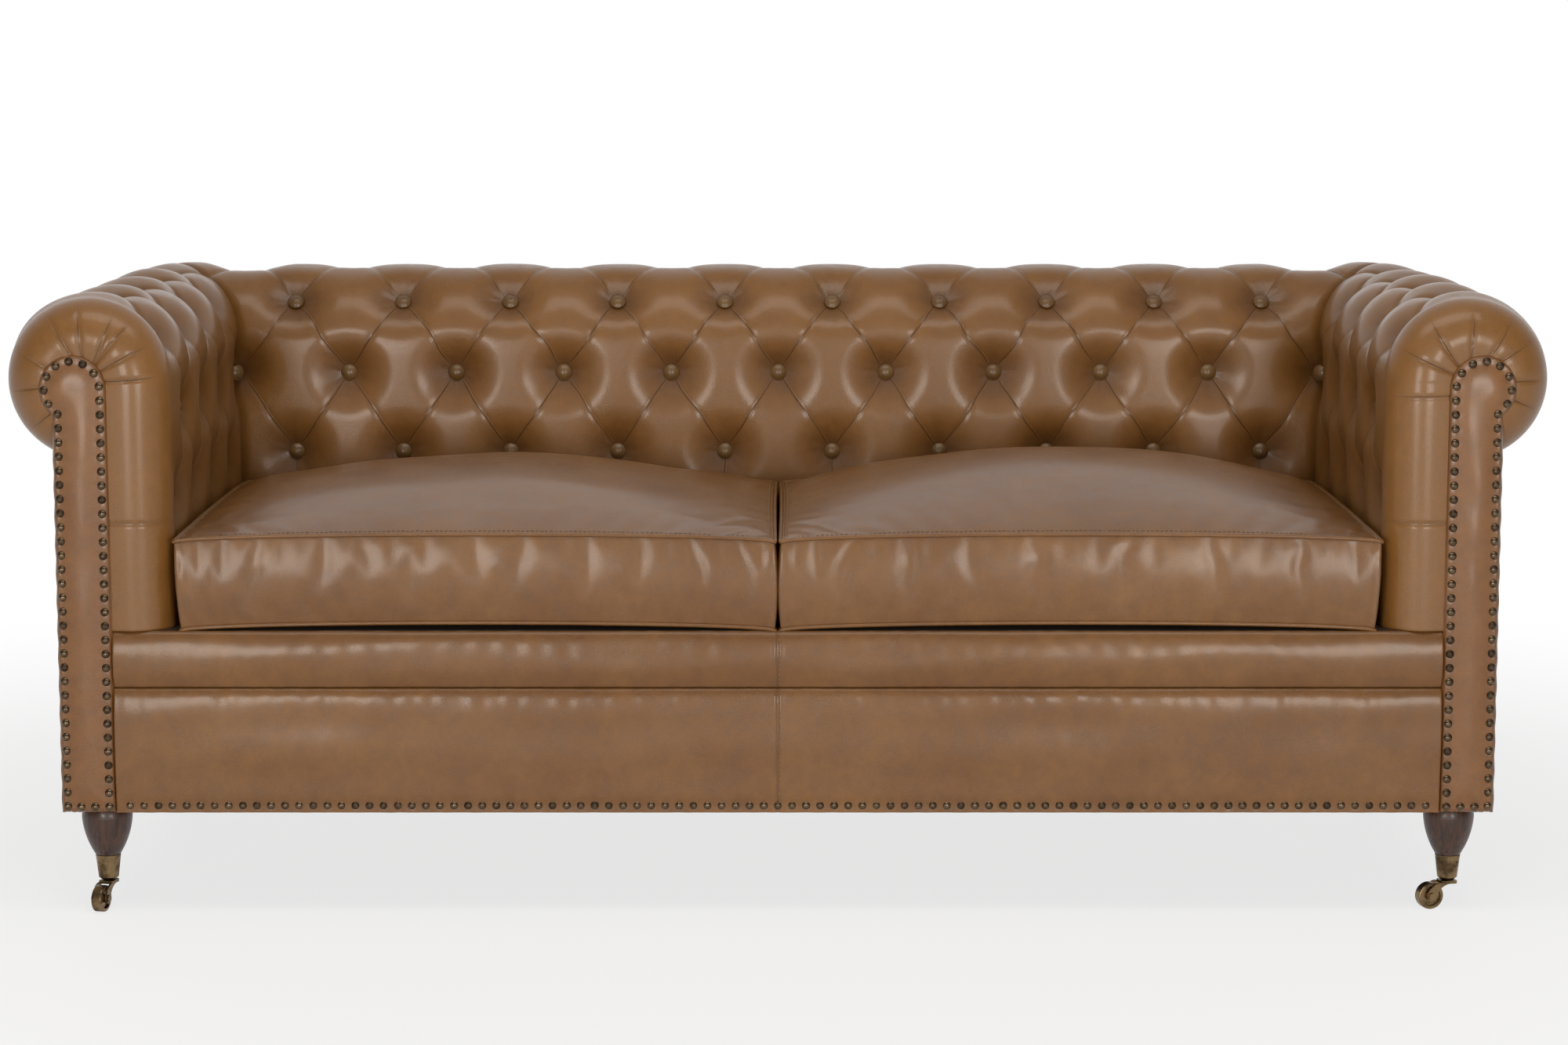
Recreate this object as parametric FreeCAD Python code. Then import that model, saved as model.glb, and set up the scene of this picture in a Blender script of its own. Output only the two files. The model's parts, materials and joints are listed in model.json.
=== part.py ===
"""Chesterfield sofa: rolled arms and back of one height, deep diamond tufting, two loose seat
cushions, nailed arm facings and front border, turned front legs on cup castors.

Millimetres. X runs along the sofa, Y from front to back, Z up. The origin is on the floor under
the middle of the sofa. The left side is at negative X. Each piece is written to parts/NODE.step.
"""
import FreeCAD
import Part
import math
import os

V = FreeCAD.Vector

# Overall
depth_total = 860.0
seat_width = 1570.0
frame_height = 138.0
deck_height = 376.0
roll_centre_height = 700.0
roll_radius = 105.0
under_roll_angle = 248.8

# Upholstery layers on the arms and the back, from the face inwards
cover_thickness = 28.0
foam_thickness = 27.0
layer_gap = 0.3
mitre_gap = 0.6
overcut = 1.0

# Diamond tufting
tufts_along_back = 10
row_pitch = 116.0
middle_row_height = 652.0
tuft_depth = 20.0
shallow_tuft_depth = 8.0
crown_over_tufts = 2.0
row_clear = 8.0
button_radius = 11.5
button_height = 8.0
button_rim_height = 2.8
button_base_radius = 9.2
button_seat = 3.0
button_shank_radius = 1.5
button_shank_bite = 4.0
corner_button_lead = 19.0

# Arm fronts
facing_inset = 76.0
facing_head_radius = 44.0
facing_head_centre = 120.0
facing_head_drop = 9.0
facing_thickness = 10.0
side_face = 147.0
side_cover_thickness = 3.0
front_wrap_thickness = 4.0
front_tuck = 14.0
front_shoulder_tuck = 2.8
front_round = 19.0
front_flat = 47.0
hem_drop = 1.0

# Nails
nail_head_radius = 5.4
nail_head_height = 4.0
nail_rim_height = 0.8
nail_shank_radius = 1.0
nail_shank_length = 14.0
nail_pitch = 18.4
nail_edge = 8.5

# Hardwood frame
post_thickness = 28.0
rail_thickness = 28.0
rail_height = 172.0
rail_lift = 3.0
side_rail_thickness = 25.0
centre_rail_thickness = 28.0
arm_board_thickness = 4.0
back_stile_width = 50.0
back_stile_count = 5
block_length = 86.0
block_height = 60.0

# Seat springing and deck
spring_count = 10
spring_wire_radius = 2.0
spring_bend_radius = 11.0
spring_half_width = 24.0
clip_width = 16.0
clip_length = 14.0
clip_plate = 1.4
deck_clearance = 1.0
dust_cover_thickness = 1.2
dust_cover_clear = 1.0

# Front upholstery
border_thickness = 5.0
border_puff = 5.0
border_flat_height = 21.25
border_crown_drop = 28.75
border_slope = 0.8
lip_thickness = 4.0
lip_puff = 8.0
lip_height = 73.0
front_seam = 1.0

# Seat cushions
cushion_gap = 4.0
cushion_side_clear = 5.0
cushion_back_clear = 14.0
cushion_set_back = 10.0
cushion_edge_height = 116.0
cushion_crown = 78.0
cushion_end_crown = 14.0
cushion_front_lift = 9.0
cushion_front_lift_depth = 110.0
cushion_end_tuck = 4.0
cushion_front_belly = 5.0
cushion_crown_lead = 12.0
cushion_draw = 7.0
cushion_cover = 3.0
cushion_sections = 14

# Cushion zips
zip_length = 560.0
zip_width = 26.0
zip_thickness = 1.6
zip_coil_width = 5.0
zip_coil_thickness = 1.2
zip_slider_length = 10.0
zip_slider_width = 9.0
zip_slider_thickness = 3.0
zip_tab_length = 20.0
zip_tab_width = 5.0
zip_tab_thickness = 1.2

# Legs
leg_inset_side = 97.0
front_leg_setback = 40.0
leg_top_radius = 29.5
leg_bulb_radius = 33.0
leg_bulb_height = 124.0
leg_waist_radius = 27.5
leg_waist_height = 96.0
leg_neck_radius = 16.0
leg_neck_height = 72.0
rear_leg_top = 50.0
rear_leg_foot = 36.0
rear_leg_corner = 4.0
rear_leg_setback = 42.0
leg_bolt_radius = 4.0
leg_bolt_bite = 32.0

# Castors
wheel_radius = 17.5
wheel_width = 14.0
wheel_edge = 2.0
wheel_dish = 2.8
wheel_dish_radius = 13.3
wheel_boss = 2.5
axle_radius = 3.0
axle_clear = 0.05
axle_head_radius = 5.0
axle_head_length = 1.8
cheek_thickness = 2.6
cheek_gap = 0.6
cheek_eye = 3.5
wheel_arch_clear = 2.0
castor_trail = 25.0
cup_top_radius = 16.5
cup_foot_radius = 13.0
cup_wall = 1.5
cup_gap = 0.2
cup_depth = 30.0
swivel_gap = 0.4
collar_radius = 8.0
collar_height = 4.0
pintle_radius = 4.0
pintle_clear = 0.05
horn_plate_thickness = 4.0
horn_plate_radius = 11.0
horn_plate_lead = 10.5
castor_screw_radius = 1.5
castor_screw_length = 7.5
castor_screw_drop = 9.6
castor_screw_spread = 45.0
castor_turn_left = 256.0
castor_turn_right = 195.0

# Worked out from the sizes above
back_out = depth_total / 2
front_out = -depth_total / 2
roll_width = 2 * roll_radius
half_seat = seat_width / 2
back_face = back_out - roll_width
face_height = roll_centre_height - deck_height
wood_face = cover_thickness + foam_thickness + 2 * layer_gap
wood_radius = roll_radius - wood_face
tuft_pitch = seat_width / tufts_along_back
outer_length = face_height + roll_radius * math.radians(under_roll_angle)
middle_row = middle_row_height - deck_height
row_at = {row: middle_row + (2 - row) * row_pitch for row in (4, 3, 2, 1, 0, -1)}
rows_down = [row for row in row_at if row_at[row] > row_clear]
half_column = tuft_pitch / 4
facing_front = front_out + nail_head_height
facing_back = facing_front + facing_thickness
post_back = facing_back + post_thickness
side_rim = side_face - side_cover_thickness - layer_gap
rail_bottom = frame_height + rail_lift
rail_top = rail_bottom + rail_height
spring_plane = rail_top + clip_plate + spring_wire_radius + layer_gap
deck_bottom = spring_plane + spring_wire_radius + clip_plate + deck_clearance
rear_post_front = back_face + roll_radius - post_thickness / 2
rear_post_back = rear_post_front + post_thickness
rear_head_radius = math.sqrt(wood_radius ** 2 - (post_thickness / 2) ** 2) - layer_gap
back_side_face = back_face + side_face
back_rim = back_face + side_rim


def box(x0, x1, y0, y1, z0, z1):
    return Part.makeBox(x1 - x0, y1 - y0, z1 - z0, V(x0, y0, z0))


def cylinder(centre, axis, radius, length):
    return Part.makeCylinder(radius, length, centre, axis)


def mirrored(shape):
    """The same piece on the other side of the sofa."""
    return shape.mirror(V(0, 0, 0), V(1, 0, 0))


def export(name, *solids):
    """Writes one node, made of one or more separate solids."""
    shape = solids[0] if len(solids) == 1 else Part.makeCompound(list(solids))
    shape.exportStep("parts/" + name + ".step")
    volume = sum(s.Volume for s in shape.Solids)
    print(f"{name:22s} solids {len(shape.Solids):3d}  litres {volume / 1e6:8.4f}  valid {shape.isValid()}")


def export_pair(name, *solids):
    """Writes a left piece and its mirror image on the right."""
    export(name + "_left", *solids)
    export(name + "_right", *[mirrored(s) for s in solids])


# The roll's outline. A point on it is (outward, z), where outward is measured from the face that the
# sitter touches towards the outside of the sofa. s is the length along the outline from the deck, and
# proud is how far the point stands out of the plain surface.
def outline_point(s, proud):
    if s <= face_height:
        return (-proud, deck_height + s)
    angle = (s - face_height) / roll_radius
    reach = roll_radius + proud
    return (roll_radius - reach * math.cos(angle), roll_centre_height + reach * math.sin(angle))


def on_arm(station, point):
    """A point of the left arm's outline at a place along Y."""
    return V(-half_seat - point[0], station, point[1])


def on_back(station, point):
    """A point of the back's outline at a place along X."""
    return V(station, back_face + point[0], point[1])


def arc_edge(a, b, c):
    return Part.Arc(a, b, c).toShape()


def line_edge(a, b):
    return Part.makeLine(a, b)


def ring_edges(place, proud):
    """The outline of a layer's inside, from under the roll back down to the deck."""
    end = outer_length
    stops = [end, (end + face_height) / 2, face_height]
    edges = []
    for start, stop in zip(stops, stops[1:]):
        points = [place(outline_point(s, proud)) for s in (start, (start + stop) / 2, stop)]
        edges.append(arc_edge(*points))
    foot = place(outline_point(0, proud))
    edges.append(line_edge(place(outline_point(face_height, proud)), foot))
    return edges


def tuft_proud(row, odd_column, depth):
    """How far a tufting point stands proud: an odd column is pulled in at rows 1 and 3, an even one
    at rows 0 and 2, and a shallow fold runs on past the outer rows."""
    if row in (4, -1):
        return 0.0 if odd_column else -depth * shallow_tuft_depth / tuft_depth
    pulled = (row in (1, 3)) == odd_column
    return -depth if pulled else 0.0


def cover_section(place, odd, depth, tuck):
    """A closed outline of the tufted cover at one station along the arm or the back."""
    stops = [(0.0, -tuck)]
    stops += [(row_at[row], tuft_proud(row, odd, depth) - tuck) for row in rows_down]
    stops.append((outer_length, -tuck))
    edges = []
    for (s0, p0), (s1, p1) in zip(stops, stops[1:]):
        middle = place(outline_point((s0 + s1) / 2, (p0 + p1) / 2 + crown_over_tufts))
        edges.append(arc_edge(place(outline_point(s0, p0)), middle, place(outline_point(s1, p1))))
    inside = ring_edges(place, -cover_thickness)
    edges.append(line_edge(edges[-1].Vertexes[-1].Point, inside[0].Vertexes[0].Point))
    edges += inside
    foot_in = place(outline_point(0, -cover_thickness))
    edges.append(line_edge(foot_in, place(outline_point(0, -tuck))))
    return Part.Wire(edges)


def plain_section(place, outside, inside):
    """A closed outline of a plain layer between two depths under the face."""
    stops = [0, face_height, (face_height + outer_length) / 2, outer_length]
    first = place(outline_point(0, -outside))
    second = place(outline_point(face_height, -outside))
    edges = [line_edge(first, second)]
    for start, stop in zip(stops[1:], stops[2:]):
        points = [place(outline_point(s, -outside)) for s in (start, (start + stop) / 2, stop)]
        edges.append(arc_edge(*points))
    inner = ring_edges(place, -inside)
    edges.append(line_edge(edges[-1].Vertexes[-1].Point, inner[0].Vertexes[0].Point))
    edges += inner
    edges.append(line_edge(place(outline_point(0, -inside)), first))
    return Part.Wire(edges)


def mitre_prism(towards_back):
    """The space on one side of the two mitres, where the arms meet the back at 45 degrees."""
    reach = roll_width + 2 * row_pitch
    lead = half_column
    shift = mitre_gap / 2 * math.sqrt(2)
    if towards_back:
        corner = back_face + shift
        points = [(half_seat - lead, corner - lead), (half_seat + reach, corner + reach)]
        outline = [V(-x, y, 0) for x, y in points] + [V(x, y, 0) for x, y in reversed(points)]
    else:
        corner = back_face - shift
        outline = [V(-half_seat + lead, corner - lead, 0), V(-half_seat - reach, corner + reach, 0)]
        outline += [V(-half_seat - reach, front_out - lead, 0), V(-half_seat + lead, front_out - lead, 0)]
    face = Part.Face(Part.makePolygon(outline + outline[:1]))
    return face.extrude(V(0, 0, roll_centre_height + 2 * roll_radius))


def arm_stations():
    """Places of the tufting columns along an arm, from behind the mitre to the front."""
    places = []
    first = -2 * int(roll_width / tuft_pitch + 1)
    column = first
    while back_face - column * tuft_pitch / 2 > facing_back + front_flat:
        places.append((back_face - column * tuft_pitch / 2, column % 2 == 1))
        column += 1
    return places


def back_stations():
    """Places of the tufting columns along the back, past both mitres."""
    count = tufts_along_back + 2 * int(roll_width / tuft_pitch + 1)
    return [(column * tuft_pitch / 2, (column + tufts_along_back) % 2 == 1) for column in range(-count, count + 1)]


def arm_cover():
    """The tufted cover of an arm, which rounds in at its front to meet the gathered leather."""
    sections = [cover_section(lambda p, y=y: on_arm(y, p), odd, tuft_depth, 0.0) for y, odd in arm_stations()]
    front = facing_back - front_wrap_thickness
    for setback, tuck in ((front_flat, 0.0), (front_round, front_shoulder_tuck), (0.0, front_tuck)):
        y = front + setback
        sections.append(cover_section(lambda p, y=y: on_arm(y, p), True, 0.0, tuck))
    cover = Part.makeLoft(sections, True, True).common(mitre_prism(False))
    return cover.cut(facing_space(facing_back + layer_gap)).Solids[0]


def back_cover():
    sections = [cover_section(lambda p, x=x: on_back(x, p), odd, tuft_depth, 0.0) for x, odd in back_stations()]
    return Part.makeLoft(sections, True, True).common(mitre_prism(True)).Solids[0]


def arm_foam():
    outside = cover_thickness + layer_gap
    section = plain_section(lambda p: on_arm(facing_back, p), outside, outside + foam_thickness)
    solid = Part.Face(section).extrude(V(0, back_out - facing_back, 0))
    return solid.common(mitre_prism(False)).Solids[0]


def back_foam():
    outside = cover_thickness + layer_gap
    reach = half_seat + roll_width
    section = plain_section(lambda p: on_back(-reach, p), outside, outside + foam_thickness)
    solid = Part.Face(section).extrude(V(2 * reach, 0, 0))
    return solid.common(mitre_prism(True)).Solids[0]


def facing_outline(y, grow):
    """The arm facing's outline: a straight strip that swells to a round head inside the roll."""
    head = facing_head_radius + grow
    top = roll_centre_height - facing_head_drop
    inner = facing_head_centre - head
    outer = side_face + grow
    bottom = frame_height - hem_drop - grow
    neck = math.acos((outer - facing_head_centre) / head)
    neck_point = (outer, top - head * math.sin(neck))
    side_angle = -neck / 2
    side_point = (facing_head_centre + head * math.cos(side_angle), top + head * math.sin(side_angle))
    right = (facing_head_centre + head, top)
    crown = (facing_head_centre, top + head)
    left = (inner, top)
    middle = head * math.sqrt(0.5)
    a = [on_arm(y, p) for p in (
        (inner, bottom), left, (facing_head_centre - middle, top + middle), crown,
        (facing_head_centre + middle, top + middle), right, side_point, neck_point, (outer, bottom))]
    edges = [line_edge(a[0], a[1]), arc_edge(a[1], a[2], a[3]), arc_edge(a[3], a[4], a[5])]
    edges += [arc_edge(a[5], a[6], a[7]), line_edge(a[7], a[8]), line_edge(a[8], a[0])]
    return Part.Wire(edges)


def facing_space(depth):
    """The room that the layers behind a facing leave for it, from the front to a depth."""
    face = Part.Face(facing_outline(front_out - front_wrap_thickness, layer_gap))
    return face.extrude(V(0, depth - front_out + front_wrap_thickness, 0))


def facing():
    return Part.Face(facing_outline(facing_front, 0.0)).extrude(V(0, facing_thickness, 0))


def front_wrap():
    """The gathered leather on the arm's front, between the roll's edge and the facing."""
    y = facing_back - front_wrap_thickness
    proud = -(cover_thickness + layer_gap)
    reach = roll_radius + proud
    length = V(0, front_wrap_thickness - layer_gap, 0)
    disc = cylinder(on_arm(y, (roll_radius, roll_centre_height)), V(0, 1, 0), reach, length.y)
    strip = box(-half_seat - facing_inset - overcut, -half_seat + proud, y, y + length.y, deck_height, roll_centre_height)
    ring = disc.fuse(strip).cut(facing_space(facing_back))
    return max(ring.removeSplitter().Solids, key=lambda s: s.Volume)


def under_roll_wedge(place, length):
    """The space on the padded side of the line where the roll's underside ends."""
    turn = math.radians(under_roll_angle)
    along = (-math.cos(turn), math.sin(turn))
    start = (roll_radius + layer_gap * math.sin(turn), roll_centre_height + layer_gap * math.cos(turn))
    end = (start[0] + 2 * roll_radius * along[0], start[1] + 2 * roll_radius * along[1])
    corners = [start, end, (4 * roll_radius, end[1]), (4 * roll_radius, start[1] + roll_radius)]
    corners.append((start[0], start[1] + roll_radius))
    points = [place(p) for p in corners]
    return Part.Face(Part.makePolygon(points + points[:1])).extrude(length)


def post(front, head_radius):
    """A sawn post with a scroll head, which carries the roll."""
    strip = box(-half_seat - side_rim, -half_seat - wood_face, front, front + post_thickness,
                frame_height, roll_centre_height)
    length = V(0, post_thickness, 0)
    strip = strip.cut(under_roll_wedge(lambda p: on_arm(front, p), length))
    centre = on_arm(front, (roll_radius, roll_centre_height))
    disc = cylinder(centre, length, head_radius, post_thickness)
    return disc.fuse(strip).removeSplitter().Solids[0]


def nail(point, axis):
    """A domed upholstery nail, driven in along the axis from the surface point."""
    rim_height = nail_rim_height
    dome = nail_head_height - rim_height
    sphere_radius = (nail_head_radius ** 2 + dome ** 2) / (2 * dome)
    middle_radius = math.sqrt(sphere_radius ** 2 - (sphere_radius - dome / 2) ** 2)
    top = V(0, 0, nail_head_height)
    side = V(middle_radius, 0, rim_height + dome / 2)
    rim = V(nail_head_radius, 0, rim_height)
    edges = [
        arc_edge(top, side, rim),
        line_edge(rim, V(nail_head_radius, 0, 0)),
        line_edge(V(nail_head_radius, 0, 0), V(nail_shank_radius, 0, 0)),
        line_edge(V(nail_shank_radius, 0, 0), V(nail_shank_radius, 0, -nail_shank_length)),
        line_edge(V(nail_shank_radius, 0, -nail_shank_length), V(0, 0, -nail_shank_length - 2 * nail_shank_radius)),
        line_edge(V(0, 0, -nail_shank_length - 2 * nail_shank_radius), top),
    ]
    solid = Part.Face(Part.Wire(edges)).revolve(V(0, 0, 0), V(0, 0, 1), 360)
    return aimed(solid, point, axis)


def aimed(solid, point, axis):
    """Turns a piece made along +Z so that it points along axis, and moves it to point."""
    moved = solid.copy()
    moved.Placement = FreeCAD.Placement(point, FreeCAD.Rotation(V(0, 0, 1), axis))
    return moved


def facing_nails():
    wire = facing_outline(facing_front, -nail_edge)
    count = round(wire.Length / nail_pitch)
    places = wire.discretize(Number=count + 1)[:-1]
    return [nail(p, V(0, -1, 0)) for p in places]


def border_nails():
    reach = half_seat + facing_inset - nail_edge - nail_pitch / 2
    count = round(2 * reach / nail_pitch)
    z = frame_height + nail_edge
    y = facing_back - layer_gap - border_thickness
    places = [V(-reach + 2 * reach * i / count, y, z) for i in range(count + 1)]
    return [nail(p, V(0, -1, 0)) for p in places]


def button(point, axis, lead):
    """A leather-covered button, which stands lead above the tuft's bottom on its shank."""
    rim_height = button_rim_height
    dome = button_height - rim_height
    sphere_radius = (button_radius ** 2 + dome ** 2) / (2 * dome)
    middle_radius = math.sqrt(sphere_radius ** 2 - (sphere_radius - dome / 2) ** 2)
    top = V(0, 0, button_height)
    rim = V(button_radius, 0, rim_height)
    base = V(button_base_radius, 0, 0)
    shank_top = V(button_shank_radius, 0, 0)
    shank_foot = V(button_shank_radius, 0, -lead - button_shank_bite)
    edges = [
        arc_edge(top, V(middle_radius, 0, rim_height + dome / 2), rim),
        line_edge(rim, base),
        line_edge(base, shank_top),
        line_edge(shank_top, shank_foot),
        line_edge(shank_foot, V(0, 0, shank_foot.z)),
        line_edge(V(0, 0, shank_foot.z), top),
    ]
    solid = Part.Face(Part.Wire(edges)).revolve(V(0, 0, 0), V(0, 0, 1), 360)
    return aimed(solid, point + axis * lead, axis)


def button_on(place, station, row):
    """A button in its tuft, square to the surface."""
    s = row_at[row]
    at = place(station, outline_point(s, -tuft_depth))
    out = place(station, outline_point(s, 0.0))
    return button(at, (out - at).normalize(), button_seat)


def arm_buttons():
    buttons = []
    for y, odd in arm_stations():
        rows = (3, 1) if odd else (2, 0)
        if y < back_face - half_column:
            buttons += [button_on(on_arm, y, row) for row in rows]
    return buttons


def back_buttons():
    buttons = []
    for x, odd in back_stations():
        rows = (3, 1) if odd else (2, 0)
        if abs(x) < half_seat - half_column:
            buttons += [button_on(on_back, x, row) for row in rows]
    for side in (-1, 1):
        corner = V(side * (half_seat + tuft_depth), back_face + tuft_depth, middle_row_height)
        lift = V(-side, -1, 0).normalize()
        buttons.append(button(corner, lift, corner_button_lead))
    return buttons


def front_lip():
    """The rolled leather edge under the cushions."""
    reach = half_seat + facing_inset - layer_gap
    back = facing_back - layer_gap
    front = back - lip_thickness
    low = deck_height - lip_height
    a = V(-reach, back, low)
    b = V(-reach, front, low)
    c = V(-reach, front - lip_puff, (low + deck_height) / 2)
    d = V(-reach, front, deck_height - layer_gap)
    e = V(-reach, back, deck_height - layer_gap)
    wire = Part.Wire([line_edge(a, b), arc_edge(b, c, d), line_edge(d, e), line_edge(e, a)])
    return Part.Face(wire).extrude(V(2 * reach, 0, 0))


def front_border():
    """The nailed lower front panel, which puffs out under the lip."""
    reach = half_seat + facing_inset - layer_gap
    back = facing_back - layer_gap
    front = back - border_thickness
    top = deck_height - lip_height - front_seam
    bottom = frame_height - hem_drop
    low = bottom + border_flat_height
    fullest = top - border_crown_drop
    a = V(-reach, back, bottom)
    b = V(-reach, front, bottom)
    c = V(-reach, front, low)
    d = V(-reach, front - border_puff, fullest)
    e = V(-reach, back, top)
    middle = V(-reach, front - border_slope * border_puff, (low + fullest) / 2)
    spread = V(-reach, front - border_slope * border_puff, (fullest + top) / 2)
    wire = Part.Wire([
        line_edge(a, b), line_edge(b, c), arc_edge(c, middle, d), arc_edge(d, spread, e), line_edge(e, a)])
    return Part.Face(wire).extrude(V(2 * reach, 0, 0))


def seat_deck():
    reach = half_seat + wood_face - layer_gap
    back = back_face + wood_face - layer_gap
    return box(-reach, reach, facing_back, back, deck_bottom, deck_height - layer_gap)


def spring_ends():
    """Where the springs' end bars lie, along the middle of the front and back rails."""
    return facing_back + rail_thickness / 2, rear_post_front + rail_thickness / 2


def spring_path(x):
    """A sinuous spring's centre line: straight bars across, joined by half-round bends."""
    front, back = spring_ends()
    bends = round((back - front) / (2 * spring_bend_radius))
    turn = (back - front) / (2 * bends)
    reach = spring_half_width - turn
    edges = []
    side = 1
    y = front
    for bend in range(bends):
        start = V(x - side * reach, y, spring_plane)
        stop = V(x + side * reach, y, spring_plane)
        far = V(x + side * (reach + turn), y + turn, spring_plane)
        y += 2 * turn
        edges += [line_edge(start, stop), arc_edge(stop, far, V(x + side * reach, y, spring_plane))]
        side = -side
    edges.append(line_edge(V(x - side * reach, y, spring_plane), V(x + side * reach, y, spring_plane)))
    return Part.Wire(edges)


def spring_places():
    gap = 2 * (half_seat + wood_face) / (spring_count + 1)
    return [(i + 1 - (spring_count + 1) / 2) * gap for i in range(spring_count)]


def seat_springs():
    springs = []
    for x in spring_places():
        path = spring_path(x)
        start = path.Edges[0].Vertexes[0].Point
        ring = Part.Wire(Part.makeCircle(spring_wire_radius, start, V(1, 0, 0)))
        springs.append(path.makePipeShell([ring], True, False))
    return springs


def spring_clips():
    """A pair of plates with a web, which hold each spring's end on its rail."""
    clips = []
    front, back = spring_ends()
    wire_low = spring_plane - spring_wire_radius - layer_gap
    wire_high = spring_plane + spring_wire_radius + layer_gap
    for x in spring_places():
        for y, out in ((front, -1), (back, 1)):
            y0 = y - clip_length / 2
            y1 = y + clip_length / 2
            block = box(x - clip_width / 2, x + clip_width / 2, y0, y1, rail_top, wire_high + clip_plate)
            slot = box(x - clip_width, x + clip_width, y0 + clip_plate, y1 + overcut, wire_low, wire_high)
            if out > 0:
                slot = box(x - clip_width, x + clip_width, y0 - overcut, y1 - clip_plate, wire_low, wire_high)
            clips.append(block.cut(slot))
    return clips


def front_rail():
    reach = half_seat + wood_face
    return box(-reach, reach, facing_back, facing_back + rail_thickness, rail_bottom, rail_top)


def back_rail():
    reach = half_seat + wood_face
    return box(-reach, reach, rear_post_front, rear_post_front + rail_thickness, rail_bottom, rail_top)


def side_rail():
    outer = -half_seat - side_rim
    return box(outer, outer + side_rail_thickness, post_back, rear_post_front, rail_bottom, rail_top)


def centre_rail():
    half = centre_rail_thickness / 2
    return box(-half, half, facing_back + rail_thickness, rear_post_front, rail_bottom, rail_top - block_height)


def corner_blocks():
    """Blocks glued behind the posts, which take the leg bolts."""
    outer = -half_seat - side_rim + side_rail_thickness
    inner = -half_seat - wood_face
    top = frame_height + block_height
    front = box(outer, inner, post_back, post_back + block_length, frame_height, top)
    back = box(outer, inner, rear_post_front - block_length, rear_post_front, frame_height, top)
    return [front, back, mirrored(front), mirrored(back)]


def roll_core():
    """The round batten inside an arm's roll."""
    centre = on_arm(post_back, (roll_radius, roll_centre_height))
    return cylinder(centre, V(0, 1, 0), wood_radius - layer_gap, rear_post_front - post_back)


def back_roll_core():
    """The round batten inside the back's roll, between the rear posts' heads."""
    reach = half_seat + roll_radius - wood_radius
    centre = V(-reach, back_face + roll_radius, roll_centre_height)
    return cylinder(centre, V(1, 0, 0), wood_radius - layer_gap, 2 * reach)


def arm_boards():
    """Thin boards from post to post, which back the foam of the arms' insides."""
    face = -half_seat - wood_face
    inside = wood_radius - arm_board_thickness
    top = roll_centre_height - math.sqrt(wood_radius ** 2 - inside ** 2)
    board = box(face - arm_board_thickness, face, post_back, back_face + wood_face, rail_top, top)
    return [board, mirrored(board)]


def back_stiles():
    """Upright members on the back rail's rear face, which carry the roll's batten."""
    reach = half_seat + wood_face - back_stile_width
    core = cylinder(V(-half_seat - roll_width, back_face + roll_radius, roll_centre_height),
                    V(1, 0, 0), wood_radius, 2 * (half_seat + roll_width))
    stiles = []
    for i in range(back_stile_count):
        x = -reach + 2 * reach * i / (back_stile_count - 1) - back_stile_width / 2
        stile = box(x, x + back_stile_width, rear_post_back, back_rim, rail_bottom, roll_centre_height)
        wedge = under_roll_wedge(lambda p: on_back(x, p), V(back_stile_width, 0, 0))
        stiles.append(stile.cut(wedge).cut(core).Solids[0])
    return stiles


def roll_underside():
    """The height at which the roll's underside ends, where the outside panels meet it."""
    return roll_centre_height + roll_radius * math.sin(math.radians(under_roll_angle))


def outside_arm():
    """Leather-covered outside of an arm, from the base up under the roll."""
    back = back_side_face - side_cover_thickness - layer_gap
    return box(-half_seat - side_face, -half_seat - side_face + side_cover_thickness,
               facing_back, back, frame_height - hem_drop, roll_underside() - layer_gap)


def outside_back():
    reach = half_seat + side_face
    return box(-reach, reach, back_side_face - side_cover_thickness, back_side_face,
               frame_height - hem_drop, roll_underside() - layer_gap)


def dust_cover():
    reach = half_seat + side_rim - layer_gap
    low = frame_height - dust_cover_thickness
    sheet = box(-reach, reach, facing_back, back_rim - layer_gap, low, frame_height)
    for x, y, radius in leg_places():
        sheet = sheet.cut(cylinder(V(x, y, low - overcut), V(0, 0, 1), radius, dust_cover_thickness + 2 * overcut))
    return sheet


def leg_places():
    """Each leg's axis, with the radius that the dust cover leaves clear round it."""
    x = half_seat + leg_inset_side
    front = facing_back + front_leg_setback
    back = rear_post_back - rear_leg_setback
    rear_clear = rear_leg_top * math.sqrt(0.5) + dust_cover_clear
    places = [(side * x, front, leg_bulb_radius + dust_cover_clear) for side in (-1, 1)]
    return places + [(side * x, back, rear_clear) for side in (-1, 1)]


def neck_taper():
    """How much the cup and the leg's neck narrow for each millimetre down."""
    return (cup_top_radius - cup_foot_radius) / cup_depth


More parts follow.
